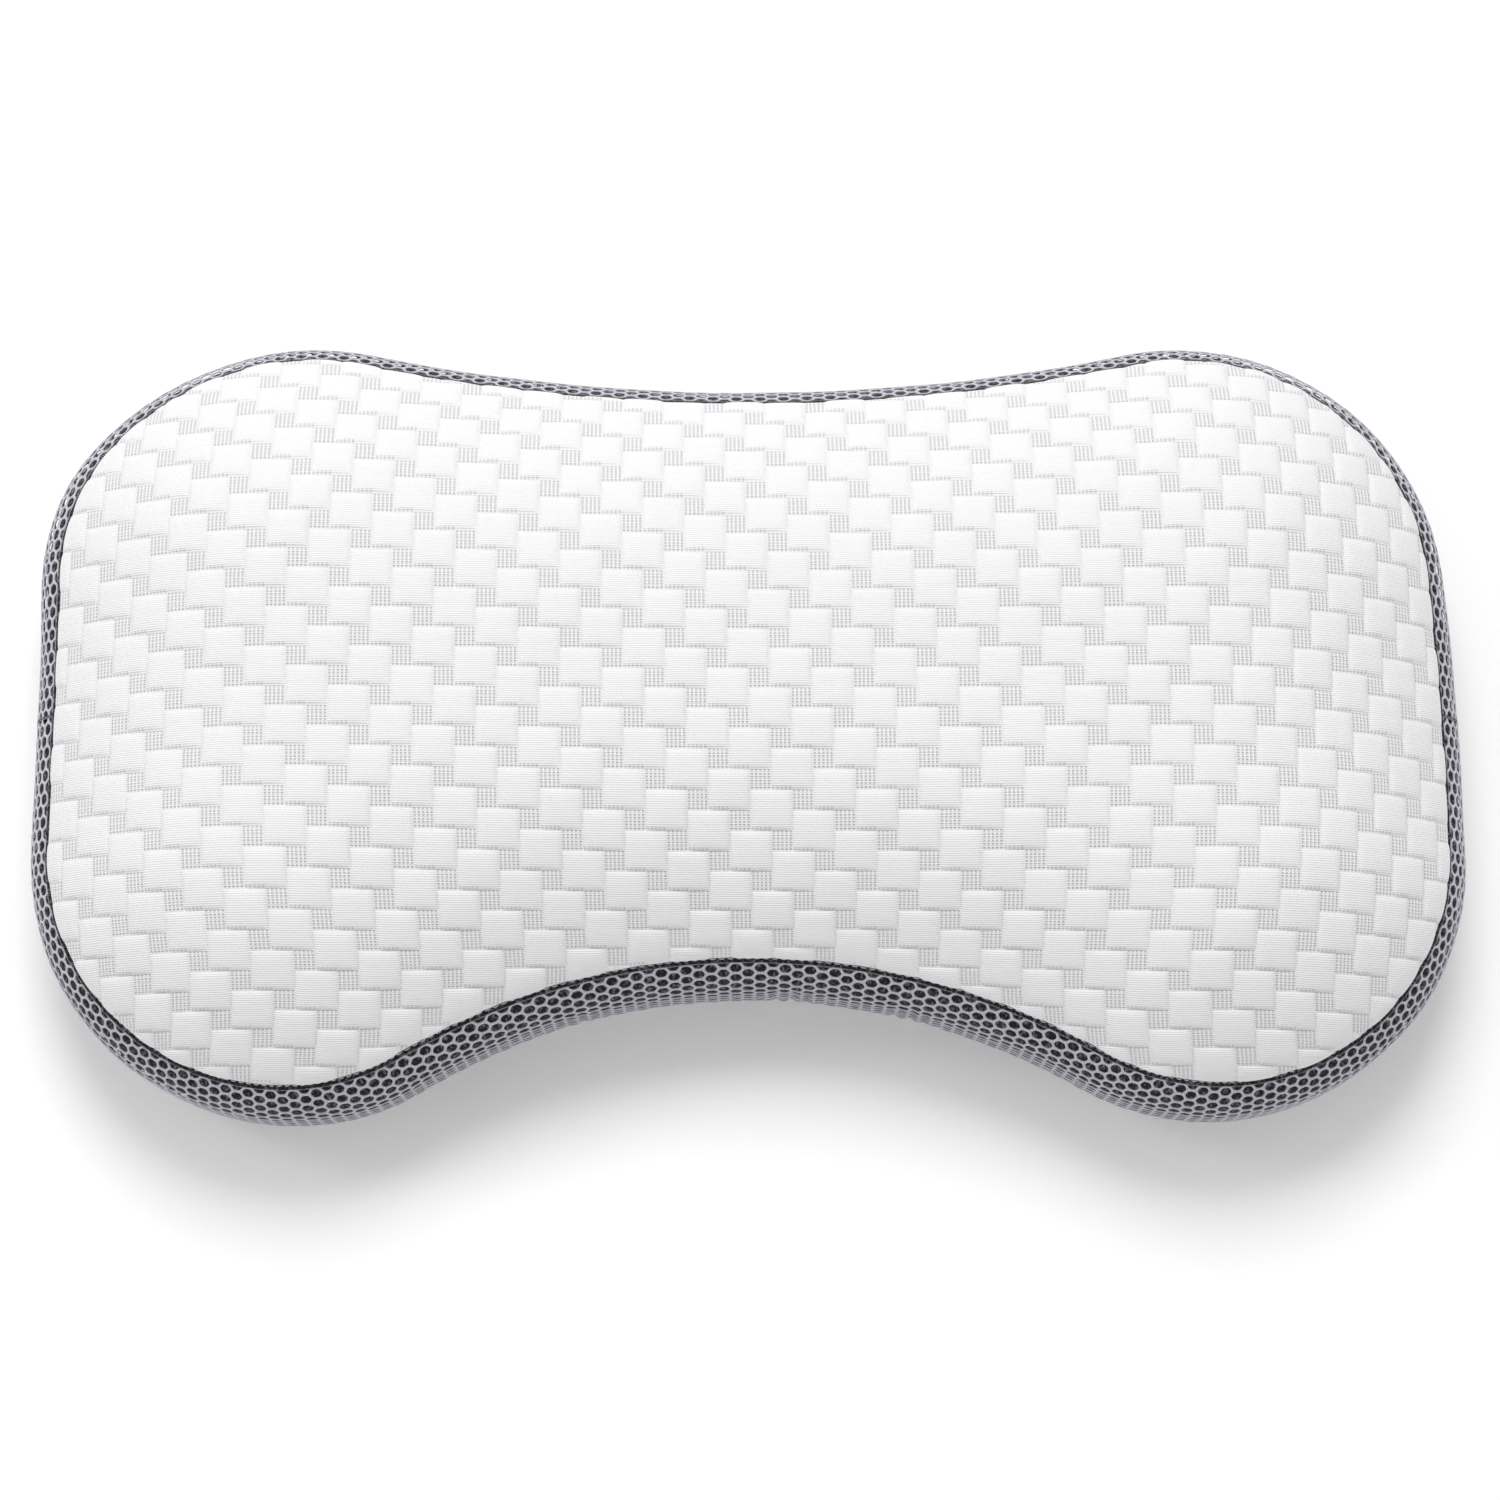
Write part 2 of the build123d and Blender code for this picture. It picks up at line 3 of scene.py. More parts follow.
import bmesh
import bpy
import numpy as np
from bpy.props import FloatProperty, FloatVectorProperty, PointerProperty
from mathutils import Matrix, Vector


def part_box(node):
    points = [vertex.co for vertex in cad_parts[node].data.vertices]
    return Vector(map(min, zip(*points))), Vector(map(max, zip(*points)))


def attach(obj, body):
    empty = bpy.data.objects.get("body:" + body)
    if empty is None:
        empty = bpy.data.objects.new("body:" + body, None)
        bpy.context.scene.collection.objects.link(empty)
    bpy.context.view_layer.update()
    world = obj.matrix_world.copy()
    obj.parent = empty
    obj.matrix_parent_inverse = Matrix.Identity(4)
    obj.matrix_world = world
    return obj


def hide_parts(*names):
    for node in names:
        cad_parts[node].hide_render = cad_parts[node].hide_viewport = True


bl_info = {
    "name": "Contoured neck pillow",
    "version": (1, 0, 0),
    "blender": (4, 5, 0),
    "location": "3D View > Sidebar > Pillow",
    "description": "Builds a contoured foam neck pillow with a quilted top and an open mesh band",
    "category": "Object",
}

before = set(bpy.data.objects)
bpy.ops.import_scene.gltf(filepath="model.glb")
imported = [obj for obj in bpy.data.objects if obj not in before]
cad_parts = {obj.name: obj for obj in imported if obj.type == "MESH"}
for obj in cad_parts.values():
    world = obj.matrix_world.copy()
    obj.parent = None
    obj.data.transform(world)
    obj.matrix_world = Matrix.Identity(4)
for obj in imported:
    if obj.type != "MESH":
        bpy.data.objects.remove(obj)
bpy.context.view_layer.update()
MM = 0.001
TURN = 2 * np.pi


def node_size(node):
    """Length, depth and height of a CAD node, in metres."""
    low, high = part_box(node)
    return high - low


def hex_colour(code):
    """sRGB hex code as linear red, green and blue."""
    channels = np.array([int(code[i : i + 2], 16) for i in (1, 3, 5)]) / 255
    linear = np.where(channels <= 0.04045, channels / 12.92, ((channels + 0.055) / 1.055) ** 2.4)
    return tuple(float(c) for c in linear)


def length(name, text, default):
    """A length property in metres."""
    return FloatProperty(name=name, description=text, default=default, unit="LENGTH", precision=4)


def tint(name, text, code):
    """A colour property with its default as a hex code."""
    return FloatVectorProperty(name=name, description=text, default=hex_colour(code), subtype="COLOR")


class PillowSizes(bpy.types.PropertyGroup):
    """Sizes of the pillow.  The overall ones come from the CAD frame."""

    width: length("Width", "Length along X", float(node_size("front_band_net").x))
    height: length("Height", "Floor to crown", float(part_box("top_panel")[1].z))
    front: length("Front", "Lowest Y of the outline", float(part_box("front_band_net")[0].y))
    rear: length("Rear", "Highest Y of the outline", float(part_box("rear_band_net")[1].y))
    front_lobe: length("Front lobe radius", "Plan radius of the two front lobes", 108 * MM)
    rear_lobe: length("Rear lobe radius", "Plan radius of the two rear lobes", 112 * MM)
    side: length("Side radius", "Plan radius of both ends", 1600 * MM)
    front_notch: length("Front notch", "Depth of the neck hollow", 51 * MM)
    rear_notch: length("Rear notch", "Depth of the hollow at the back", 19 * MM)
    hem: length("Hem radius", "Rounding between floor and wall", 24 * MM)
    wall_top: length("Wall top", "Height where the wall starts to lean in", 38 * MM)
    seam_height: length("Seam height", "Height of the top seam", 66 * MM)
    seam_inset: length("Seam inset", "Top seam in from the widest outline", 10.8 * MM)
    bottom_seam: length("Bottom seam", "Height of the bottom seam", 9.5 * MM)
    dome_run: length("Dome run", "Distance over which the top rises to its crown", 112 * MM)
    saddle: length("Saddle", "How far the middle lies below the two lobes", 5.5 * MM)
    panel: length("Panel thickness", "Quilted knit with its wadding", 3.0 * MM)
    quilt_x: length("Quilt unit along", "Side of the small quilt square along X", 8.51 * MM)
    quilt_y: length("Quilt unit across", "Side of the small quilt square along Y", 8.23 * MM)
    puff: length("Puff", "Rise of a large quilt square above its creases", 1.45 * MM)
    mesh_pitch: length("Mesh pitch", "Distance between neighbouring holes of the net", 5.7 * MM)
    net: length("Net thickness", "Thickness of the open mesh", 0.6 * MM)


class PillowColours(bpy.types.PropertyGroup):
    """Colours of the pillow's materials."""

    knit: tint("Quilted knit", "White knit of the top", "#EAEAEB")
    # Painted shade: the darker gap colour stands in for the shade that falls into the lattice gaps and tie rows.
    knit_gap_shade: tint("Knit gap shade", "Gaps of the lattice squares", "#D4D4D6")
    plain: tint("Plain knit", "Underside", "#DADADC")
    net: tint("Net", "Open mesh of the band", "#D0D0D9")
    backing: tint("Backing", "Dark fabric behind the net", "#17171C")
    spacer: tint("Spacer yarn", "Pale yarns that cross the backing", "#8E8E98")
    tape: tint("Zip tape", "Woven tape", "#9A9AA2")
    coil: tint("Zip coil", "Nylon coil", "#B4B4BB")
    metal: tint("Zip metal", "Nickel-plated zinc", "#B9BBC0")
    label: tint("Label", "Satin ribbon", "#F1F1F2")
    foam: tint("Foam", "Viscoelastic foam", "#EFE6CC")
    floor: tint("Floor", "Studio floor", "#FFFFFF")


# How the top rises and the wall leans in
DOME_POWER = 2.2
SHOULDER_POWER = 2.5
SADDLE_REACH = 130 * MM

# Swells of the stuffed cover: share of the way round, half width and height
SWELLS = ((0.690, 62 * MM, 6.5 * MM), (0.905, 70 * MM, 2.5 * MM))
SWELL_DEPTH = 95 * MM
OUTSIDE = -9.0  # an inset further out than any point


class Shape:
    """Plan outline, wall section and domed top, worked out from the pillow's sizes."""

    def __init__(self, sizes):
        self.sizes = sizes
        half_width = sizes.width / 2
        lobe = np.array([half_width - sizes.front_lobe, sizes.front + sizes.front_lobe])
        side = np.array([half_width - sizes.side, lobe[1]])
        rear_y = sizes.rear - sizes.rear_lobe
        reach = np.sqrt((sizes.side - sizes.rear_lobe) ** 2 - (rear_y - side[1]) ** 2)
        rear = np.array([side[0] + reach, rear_y])
        front_radius = self.hollow_radius(lobe[0], sizes.front_lobe, sizes.front_notch)
        rear_radius = self.hollow_radius(rear[0], sizes.rear_lobe, sizes.rear_notch)
        front_centre = np.array([0, sizes.front + sizes.front_notch - front_radius])
        rear_centre = np.array([0, sizes.rear - sizes.rear_notch + rear_radius])
        front_turn = self.heading(front_centre, lobe)
        side_turn = self.heading(side, rear)
        rear_turn = self.heading(rear_centre, rear) % TURN
        half = [
            (lobe, sizes.front_lobe, front_turn - np.pi, 0.0, 1),
            (side, sizes.side, 0.0, side_turn, 1),
            (rear, sizes.rear_lobe, side_turn, rear_turn - np.pi, 1),
        ]
        mirrored = [(c * [-1, 1], r, np.pi - b, np.pi - a, k) for c, r, a, b, k in half[::-1]]
        self.arcs = [
            (front_centre, front_radius, np.pi / 2, front_turn, -1),
            *half,
            (rear_centre, rear_radius, rear_turn, 3 * np.pi - rear_turn, -1),
            *mirrored,
            (front_centre, front_radius, np.pi - front_turn, np.pi / 2, -1),
        ]
        runs = [radius * abs(end - start) for _, radius, start, end, _ in self.arcs]
        self.starts = np.concatenate([[0], np.cumsum(runs)])
        self.round = self.starts[-1]
        self.rear_middle = self.round / 2
        self.side_seam = self.starts[2] + sizes.side * np.arcsin(-side[1] / sizes.side)
        share = np.linspace(0, 1, 201)
        self.lean_inset = sizes.seam_inset * share**SHOULDER_POWER
        self.lean_height = sizes.wall_top + (sizes.seam_height - sizes.wall_top) * share
        step_in, step_up = np.gradient(self.lean_inset), np.gradient(self.lean_height)
        step = np.hypot(step_in, step_up)
        self.lean_in, self.lean_rise = step_in / step, step_up / step
        chords = np.hypot(np.diff(self.lean_inset), np.diff(self.lean_height))
        self.straight = sizes.wall_top - sizes.hem
        self.lean_run = self.straight + np.concatenate([[0], np.cumsum(chords)])
        self.seam_up = self.lean_run[-1]
        self.seam_down = -sizes.hem * np.arcsin(1 - sizes.bottom_seam / sizes.hem)

    @staticmethod
    def hollow_radius(lobe_x, lobe_radius, depth):
        """Radius of the hollow arc that touches both lobes and is that deep."""
        reach = lobe_radius - depth
        return (lobe_x**2 + reach**2 - lobe_radius**2) / (2 * depth)

    @staticmethod
    def heading(start, end):
        """Angle of the line from start to end."""
        return np.arctan2(end[1] - start[1], end[0] - start[0])

    def rim(self, along, inset):
        """Point at a distance along the outline from the front middle towards +X, moved inwards."""
        along = np.mod(np.asarray(along, float), self.round)
        along, inset = np.broadcast_arrays(along, inset)
        inset = inset - self.swell(along, inset)
        point = np.zeros(along.shape + (2,))
        for i, (centre, radius, start, end, side) in enumerate(self.arcs):
            on = (along >= self.starts[i]) & (along <= self.starts[i + 1])
            share = (along[on] - self.starts[i]) / (self.starts[i + 1] - self.starts[i])
            angle = start + (end - start) * share
            ray = np.stack([np.cos(angle), np.sin(angle)], -1)
            point[on] = centre + ray * (radius - side * inset[on])[:, None]
        return point

    def locate(self, x, y):
        """Distance along the outline and inset of a plan point: the nearest arc that faces it."""
        along = np.zeros(np.shape(x))
        inset = np.full(np.shape(x), OUTSIDE)
        for i, (centre, radius, start, end, side) in enumerate(self.arcs):
            dx, dy = x - centre[0], y - centre[1]
            low = min(start, end)
            angle = np.mod(np.arctan2(dy, dx) - low, TURN)
            gap = (radius - np.hypot(dx, dy)) * side
            share = angle / abs(end - start)
            share = np.where(end > start, share, 1 - share)
            nearer = (angle <= abs(end - start) + 1e-6) & (np.abs(gap) < np.abs(inset))
            along = np.where(nearer, self.starts[i] + share * (self.starts[i + 1] - self.starts[i]), along)
            inset = np.where(nearer, gap, inset)
        gap = inset
        for _ in range(8):
            inset = gap + self.swell(along, inset)
        return along, inset

    def swell(self, along, inset):
        """How far the stuffed cover stands out past its pattern: bells along the outline, fading inwards."""
        bells = sum(
            size * np.exp(-(((along - share * self.round) / reach) ** 2)) for share, reach, size in SWELLS
        )
        return bells * (1 - np.clip(inset / SWELL_DEPTH, 0, 1)) ** 2

    def wall(self, up, depth):
        """Inset and height at a distance up the wall from the hem arc's top.

        Below zero it runs round the hem arc.  Above the straight wall the inset grows with a
        power of the share of the rise, so the band turns towards the top as it nears the seam.
        """
        sizes = self.sizes
        up, depth = np.broadcast_arrays(np.asarray(up, float), depth)
        turn = np.maximum(-up, 0) / sizes.hem
        size = sizes.hem - depth
        tables = (self.lean_inset, self.lean_height, self.lean_in, self.lean_rise)
        lean = [np.interp(up, self.lean_run, table) for table in tables]
        inset = np.where(up < 0, sizes.hem - size * np.cos(turn), depth)
        height = np.where(up < 0, sizes.hem - size * np.sin(turn), sizes.hem + up)
        leaning = up > self.straight
        inset = np.where(leaning, lean[0] + depth * lean[3], inset)
        return inset, np.where(leaning, lean[1] - depth * lean[2], height)

    def dome(self, x, y, lift=0.0):
        """Height of the top: a power curve of the inset, with a saddle between the lobes."""
        sizes = self.sizes
        inset = self.locate(x, y)[1]
        share = np.clip((inset - sizes.seam_inset) / sizes.dome_run, 0, 1)
        rise = 1 - (1 - share) ** DOME_POWER
        saddle = sizes.saddle * np.exp(-((x / SADDLE_REACH) ** 2)) * share**2 * (3 - 2 * share)
        return sizes.seam_height + (sizes.height - lift - sizes.seam_height) * rise - saddle

    def dome_normal(self, x, y, lift=0.0):
        """Unit normal of the dome, from central differences."""
        step = 0.5 * MM
        slope_x = (self.dome(x + step, y, lift) - self.dome(x - step, y, lift)) / (2 * step)
        slope_y = (self.dome(x, y + step, lift) - self.dome(x, y - step, lift)) / (2 * step)
        normal = np.stack([-slope_x, -slope_y, np.ones_like(slope_x)], -1)
        return normal / np.linalg.norm(normal, axis=-1, keepdims=True)


# Mesh helpers


def make_object(name, points, faces, material, uv=None, smooth=True):
    """Mesh object at the origin from an array of points and a list of faces."""
    mesh = bpy.data.meshes.new(name)
    mesh.from_pydata(np.asarray(points).reshape(-1, 3).tolist(), [], faces)
    if uv is not None:
        corners = np.zeros(len(mesh.loops), int)
        mesh.loops.foreach_get("vertex_index", corners)
        layer = mesh.uv_layers.new(name="cloth")
        layer.data.foreach_set("uv", np.asarray(uv, np.float32)[corners].ravel())
    mesh.materials.append(material)
    mesh.polygons.foreach_set("use_smooth", [smooth] * len(mesh.polygons))
    mesh.update()
    piece = bpy.data.objects.new(name, mesh)
    bpy.context.scene.collection.objects.link(piece)
    return piece


def grid_faces(rows, columns, closed_rows=False, closed_columns=False):
    """Quads of a grid of rows x columns points, numbered row by row."""
    index = np.arange(rows * columns).reshape(rows, columns)
    if closed_rows:
        index = np.vstack([index, index[:1]])
    if closed_columns:
        index = np.hstack([index, index[:, :1]])
    quads = np.stack([index[:-1, :-1], index[:-1, 1:], index[1:, 1:], index[1:, :-1]], -1)
    return quads.reshape(-1, 4).tolist()


def middle_faces(shape, ring, along):
    """Triangles that close a ring across its narrow way.

    The front and the rear run of the ring are laced together in order of their share of the run.
    """
    ring, along = np.asarray(ring), np.mod(along, shape.round)
    side = shape.side_seam
    front = (along <= side) | (along >= shape.round - side)
    turn = np.where(along > shape.round / 2, along - shape.round, along)
    near = ring[front][np.argsort(turn[front])]
    far = ring[~front][np.argsort(-along[~front])]
    near_share = (np.arange(len(near) - 1) + 0.5) / (len(near) - 1)
    far_share = (np.arange(len(far) - 1) + 0.5) / (len(far) - 1)
    near_mate = far[np.searchsorted(far_share, near_share)]
    far_mate = near[np.searchsorted(near_share, far_share, side="right")]
    first = np.column_stack([near[:-1], near[1:], near_mate])
    second = np.column_stack([far[1:], far[:-1], far_mate])
    return np.concatenate([first, second]).tolist()


def closed_body(shape, name, profile, material, cover, count=360):
    """Closed body of rings, given as (inset, height) pairs from the floor round to the crown.

    Each ring follows the outline moved inwards, and stays below the dome by the cover's thickness.
    """
    along = np.arange(count) / count * shape.round
    inset, height = np.array(profile).T
    plan = shape.rim(along[None, :], inset[:, None])
    roof = shape.dome(plan[..., 0], plan[..., 1]) - cover
    points = np.concatenate([plan, np.minimum(height[:, None], roof)[..., None]], -1)
    rows = len(profile)
    faces = grid_faces(rows, count, closed_columns=True)
    faces += middle_faces(shape, np.arange(count), along)
    faces += middle_faces(shape, np.arange((rows - 1) * count, rows * count), along)
    units = np.stack(np.broadcast_arrays(along[None, :], inset[:, None]), -1).reshape(-1, 2)
    return face_outwards(make_object(name, points, faces, material, units))


def wall_points(shape, along, up, depth):
    """Points on the wall from the distance along it, the distance up it and the depth into it."""
    along, up, depth = np.broadcast_arrays(along, up, depth)
    inset, height = shape.wall(up, depth)
    return np.concatenate([shape.rim(along, inset), height[..., None]], -1)


def stitch_row(shape, name, along, up, depth, material, thread, stitch, upright=False):
    """Stitches: short tubes that bow out of the cloth and dive in at both ends.

    Along a stitch the radius is the thread's times the root of one minus the square of the share,
    and its middle sinks with the fourth power of the share.
    """
    along, up, depth = (np.ravel(a) for a in np.broadcast_arrays(along, up, depth))
    share = np.array([-1, -0.85, -0.45, 0, 0.45, 0.85, 1.0])
    angle = np.arange(6) / 6 * TURN
    radius = thread / 2 * np.sqrt(np.clip(1.02 - share**2, 0.02, 1))
    run = np.broadcast_to((share * stitch / 2)[:, None], (len(share), 6))
    across = radius[:, None] * np.cos(angle)
    sink = radius[:, None] * np.sin(angle) + thread * 0.7 * share[:, None] ** 4
    shift_along, shift_up = (across, run) if upright else (run, across)
    points = wall_points(
        shape,
        along[:, None, None] + shift_along,
        up[:, None, None] + shift_up,
        depth[:, None, None] + sink,
    )
    index = np.arange(len(along) * len(share) * 6).reshape(len(along), len(share), 6)
    a, b = index[:, :-1], index[:, 1:]
    quads = np.stack([a, np.roll(a, -1, 2), np.roll(b, -1, 2), b], -1).reshape(-1, 4)
    faces = quads.tolist() + index[:, 0].tolist() + index[:, -1, ::-1].tolist()
    return face_outwards(make_object(name, points, faces, material))


def rounded_copy(name, node, material, radius):
    """Copy of a CAD node with its loose triangles joined and its edges rounded."""
    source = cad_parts[node]
    work = bmesh.new()
    work.from_mesh(source.data)
    bmesh.ops.remove_doubles(work, verts=work.verts, dist=0.002 * MM)
    bmesh.ops.dissolve_limit(work, angle_limit=0.02, verts=work.verts, edges=work.edges)
    bmesh.ops.recalc_face_normals(work, faces=work.faces)
    mesh = bpy.data.meshes.new(name)
    work.to_mesh(mesh)
    work.free()
    mesh.materials.append(material)
    piece = bpy.data.objects.new(name, mesh)
    bpy.context.scene.collection.objects.link(piece)
    bevel = piece.modifiers.new("rounding", "BEVEL")
    bevel.width = radius
    bevel.segments = 3
    bevel.limit_method = "ANGLE"
    bevel.angle_limit = 0.7
    bevel.harden_normals = False
    return piece


def sweep(shape, name, along, up, depth, material, scale=1.0):
    """Closed profile of (up, depth) points carried along the outline, with its ends capped.

    A sweep that goes all round is left without caps.
    """
    whole = np.isclose(along[-1] - along[0], shape.round)
    if whole:
        along = along[:-1]
    inset, height = shape.wall(up, depth)
    plan = shape.rim(along[:, None], inset[None, :])
    points = np.concatenate([plan, np.broadcast_to(height, plan.shape[:2])[..., None]], -1)
    rows, columns = plan.shape[:2]
    faces = grid_faces(rows, columns, closed_rows=whole, closed_columns=True)
    if not whole:
        faces.append(list(range(columns)))
        faces.append(list(range((rows - 1) * columns, rows * columns))[::-1])
    across = np.concatenate([[0], np.cumsum(np.hypot(np.diff(up), np.diff(depth)))])
    uv = np.stack(np.meshgrid(along, across, indexing="ij"), -1).reshape(-1, 2) / scale
    return face_outwards(make_object(name, points, faces, material, uv))


def face_outwards(piece):
    """Turn every face of a closed piece outwards."""
    work = bmesh.new()
    work.from_mesh(piece.data)
    bmesh.ops.recalc_face_normals(work, faces=work.faces)
    work.to_mesh(piece.data)
    work.free()
    return piece


def strip_profile(low, high, outer, inner, steps):
    """Closed profile of a thin strip on the wall, from low to high and between two depths."""
    up = np.linspace(low, high, steps)
    return np.concatenate([up, up[::-1]]), np.concatenate([np.full(steps, outer), np.full(steps, inner)])


def finish_piece(piece, body, slot, *replaced):
    """Put a piece on its body and hide the CAD parts that it replaces."""
    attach(piece, body)
    if replaced:
        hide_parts(*replaced)
    return piece


# Materials


def add(tree, kind, links=(), **settings):
    """Add a node, set its properties and sockets, and link (output, socket) pairs into it."""
    node = tree.nodes.new(kind)
    for key, value in settings.items():
        if key in node.inputs:
            node.inputs[key].default_value = value
        elif key.startswith("in_"):
            node.inputs[int(key[3:])].default_value = value
        else:
            setattr(node, key, value)
    for output, socket in links:
        tree.links.new(output, node.inputs[socket])
    return node


def new_material(name, **sockets):
    """Material with a shader whose sockets are set; returns the material, its tree and shader."""
    material = bpy.data.materials.new(name)
    material.use_nodes = True
    tree = material.node_tree
    shader = tree.nodes["Principled BSDF"]
    for key, value in sockets.items():
        shader.inputs[key.replace("_", " ")].default_value = value
    return material, tree, shader


def rgba(colour):
    """Colour with full alpha."""
    return (*colour, 1.0)


def quilted_knit(colours):
    """Polyester double knit with wadding: matte, soft sheen, fine courses and open lattice squares, whose gaps and
    tie rows are coloured darker as painted shade.
    """
    material, tree, shader = new_material(
        "quilted_polyester_knit", Roughness=0.9, Sheen_Weight=0.25, Sheen_Roughness=0.5
    )
    uv = add(tree, "ShaderNodeUVMap", uv_map="cloth").outputs[0]
    stitch = add(tree, "ShaderNodeAttribute", attribute_name="stitch")
    parts = add(tree, "ShaderNodeSeparateXYZ", [(stitch.outputs["Vector"], 0)])
    lattice, ties = parts.outputs[0], parts.outputs[1]
    axes = add(tree, "ShaderNodeSeparateXYZ", [(uv, 0)])
    # A quilt unit is 8.5 mm.  Its lattice squares have wales 1.7 mm apart and rows 1.4 mm apart, and
    # the courses of the whole cloth, really about 0.5 mm apart, are drawn at 0.9 mm so that they show.
    waves = []
    for axis, count in ((0, 5.0), (1, 6.0), (1, 9.0)):
        turned = add(
            tree, "ShaderNodeMath", [(axes.outputs[axis], 0)], operation="MULTIPLY", in_1=count * float(TURN)
        )
        waves.append(add(tree, "ShaderNodeMath", [(turned.outputs[0], 0)], operation="COSINE").outputs[0])
    wale, row, course = waves
    rib = add(tree, "ShaderNodeMapRange", [(wale, 0)], in_1=-1.0, in_2=0.2, in_3=1.0, in_4=0.0)
    bar = add(tree, "ShaderNodeMapRange", [(row, 0)], in_1=-0.7, in_2=0.6, in_3=1.0, in_4=0.4)
    gap = add(tree, "ShaderNodeMath", [(rib.outputs[0], 0), (bar.outputs[0], 1)], operation="MULTIPLY")
    open_gap = add(tree, "ShaderNodeMath", [(gap.outputs[0], 0), (lattice, 1)], operation="MULTIPLY")
    tie_gap = add(tree, "ShaderNodeMath", [(rib.outputs[0], 0), (ties, 1)], operation="MULTIPLY")
    holes = add(tree, "ShaderNodeMath", [(open_gap.outputs[0], 0), (tie_gap.outputs[0], 1)], operation="MAXIMUM")
    fuzz = add(tree, "ShaderNodeTexNoise", [(uv, "Vector")], Scale=7.0, Detail=6.0, Roughness=0.75)
    ribbed = add(tree, "ShaderNodeMath", [(holes.outputs[0], 0)], operation="MULTIPLY", in_1=-2.0)
    weave = add(
        tree, "ShaderNodeMath", [(course, 0), (ribbed.outputs[0], 2)], operation="MULTIPLY_ADD", in_1=0.3
    )
    rough = add(
        tree, "ShaderNodeMath", [(fuzz.outputs[0], 0), (weave.outputs[0], 2)], operation="MULTIPLY_ADD", in_1=1.1
    )
    bump = add(tree, "ShaderNodeBump", [(rough.outputs[0], "Height")], Strength=0.9, Distance=0.3 * MM)
    # Painted shade: where the lattice gaps and tie rows are recessed, the colour turns to the darker gap colour.
    mix = add(
        tree,
        "ShaderNodeMix",
        [(holes.outputs[0], 0)],
        data_type="RGBA",
        in_6=rgba(colours.knit),
        in_7=rgba(colours.knit_gap_shade),
    )
    tree.links.new(mix.outputs[2], shader.inputs["Base Color"])
    tree.links.new(bump.outputs[0], shader.inputs["Normal"])
    return material


def yarn_cloth(name, colour, pitch, depth=0.15, sheen=0.15, shade=0.82):
    """Plain knitted or woven polyester: rows of yarn at a real pitch, matte with a little sheen; the colour is
    darkened by the shade factor where the yarn rows are low, as painted shade in the grooves, and varies at random
    with the fuzz.
    """
    material, tree, shader = new_material(name, Roughness=0.85, Sheen_Weight=sheen)
    place = add(tree, "ShaderNodeTexCoord").outputs["Object"]
    rows = add(tree, "ShaderNodeTexWave", [(place, "Vector")], Scale=0.314 / pitch, Distortion=1.5, Detail=2.0)
    fuzz = add(tree, "ShaderNodeTexNoise", [(place, "Vector")], Scale=1 / (2 * pitch), Detail=5.0)
    height = add(
        tree, "ShaderNodeMath", [(fuzz.outputs[0], 0), (rows.outputs[1], 2)], operation="MULTIPLY_ADD", in_1=0.6
    )
    bump = add(tree, "ShaderNodeBump", [(height.outputs[0], "Height")], Strength=0.6, Distance=depth * MM)
    # Painted shade: low parts of the yarn relief get the colour times the shade factor; the fuzz part is random tone.
    mix = add(
        tree,
        "ShaderNodeMix",
        [(height.outputs[0], 0)],
        data_type="RGBA",
        in_6=rgba([c * shade for c in colour]),
        in_7=rgba(colour),
    )
    tree.links.new(mix.outputs[2], shader.inputs["Base Color"])
    tree.links.new(bump.outputs[0], shader.inputs["Normal"])
    return material


def spacer_fabric(colours):
    """Back face of a spacer mesh: near black, crossed by pale monofilament yarns."""
    material, tree, shader = new_material("spacer_fabric_back", Roughness=0.8)
    uv = add(tree, "ShaderNodeUVMap", uv_map="cloth").outputs[0]
    stretch = add(tree, "ShaderNodeMapping", [(uv, "Vector")], Scale=(1.0, 0.4, 1.0), Rotation=(0, 0, 0.6))
    yarns = add(tree, "ShaderNodeTexNoise", [(stretch.outputs[0], "Vector")], Scale=620.0, Detail=3.0, Roughness=0.65)
    share = add(tree, "ShaderNodeMapRange", [(yarns.outputs[0], 0)], in_1=0.5, in_2=0.68)
    mix = add(
        tree,
        "ShaderNodeMix",
        [(share.outputs[0], 0)],
        data_type="RGBA",
        in_6=rgba(colours.backing),
        in_7=rgba(colours.spacer),
    )
    bump = add(tree, "ShaderNodeBump", [(yarns.outputs[0], "Height")], Strength=0.7, Distance=0.3 * MM)
    tree.links.new(mix.outputs[2], shader.inputs["Base Color"])
    tree.links.new(bump.outputs[0], shader.inputs["Normal"])
    return material


def nickel(colours):
    """Nickel-plated zinc, tumbled: a warm grey gleam, softened by marks about 0.5 mm across."""
    material, tree, shader = new_material(
        "nickel_plated_zinc", Base_Color=rgba(colours.metal), Metallic=1.0, Roughness=0.32
    )
    place = add(tree, "ShaderNodeTexCoord").outputs["Object"]
    marks = add(tree, "ShaderNodeTexNoise", [(place, "Vector")], Scale=1800.0, Detail=4.0)
    bump = add(tree, "ShaderNodeBump", [(marks.outputs[0], "Height")], Strength=0.15, Distance=0.05 * MM)
    tree.links.new(bump.outputs[0], shader.inputs["Normal"])
    return material


def nylon(colours):
    """Extruded nylon monofilament: low gloss, with a faint change of tone along its turns."""
    material, tree, shader = new_material("nylon_monofilament", Roughness=0.42, IOR=1.53)
    place = add(tree, "ShaderNodeTexCoord").outputs["Object"]
    tone = add(tree, "ShaderNodeTexNoise", [(place, "Vector")], Scale=400.0, Detail=2.0)
    mix = add(
        tree,
        "ShaderNodeMix",
        [(tone.outputs[0], 0)],
        data_type="RGBA",
        in_6=rgba([c * 0.85 for c in colours.coil]),
        in_7=rgba(colours.coil),
    )
    tree.links.new(mix.outputs[2], shader.inputs["Base Color"])
    return material


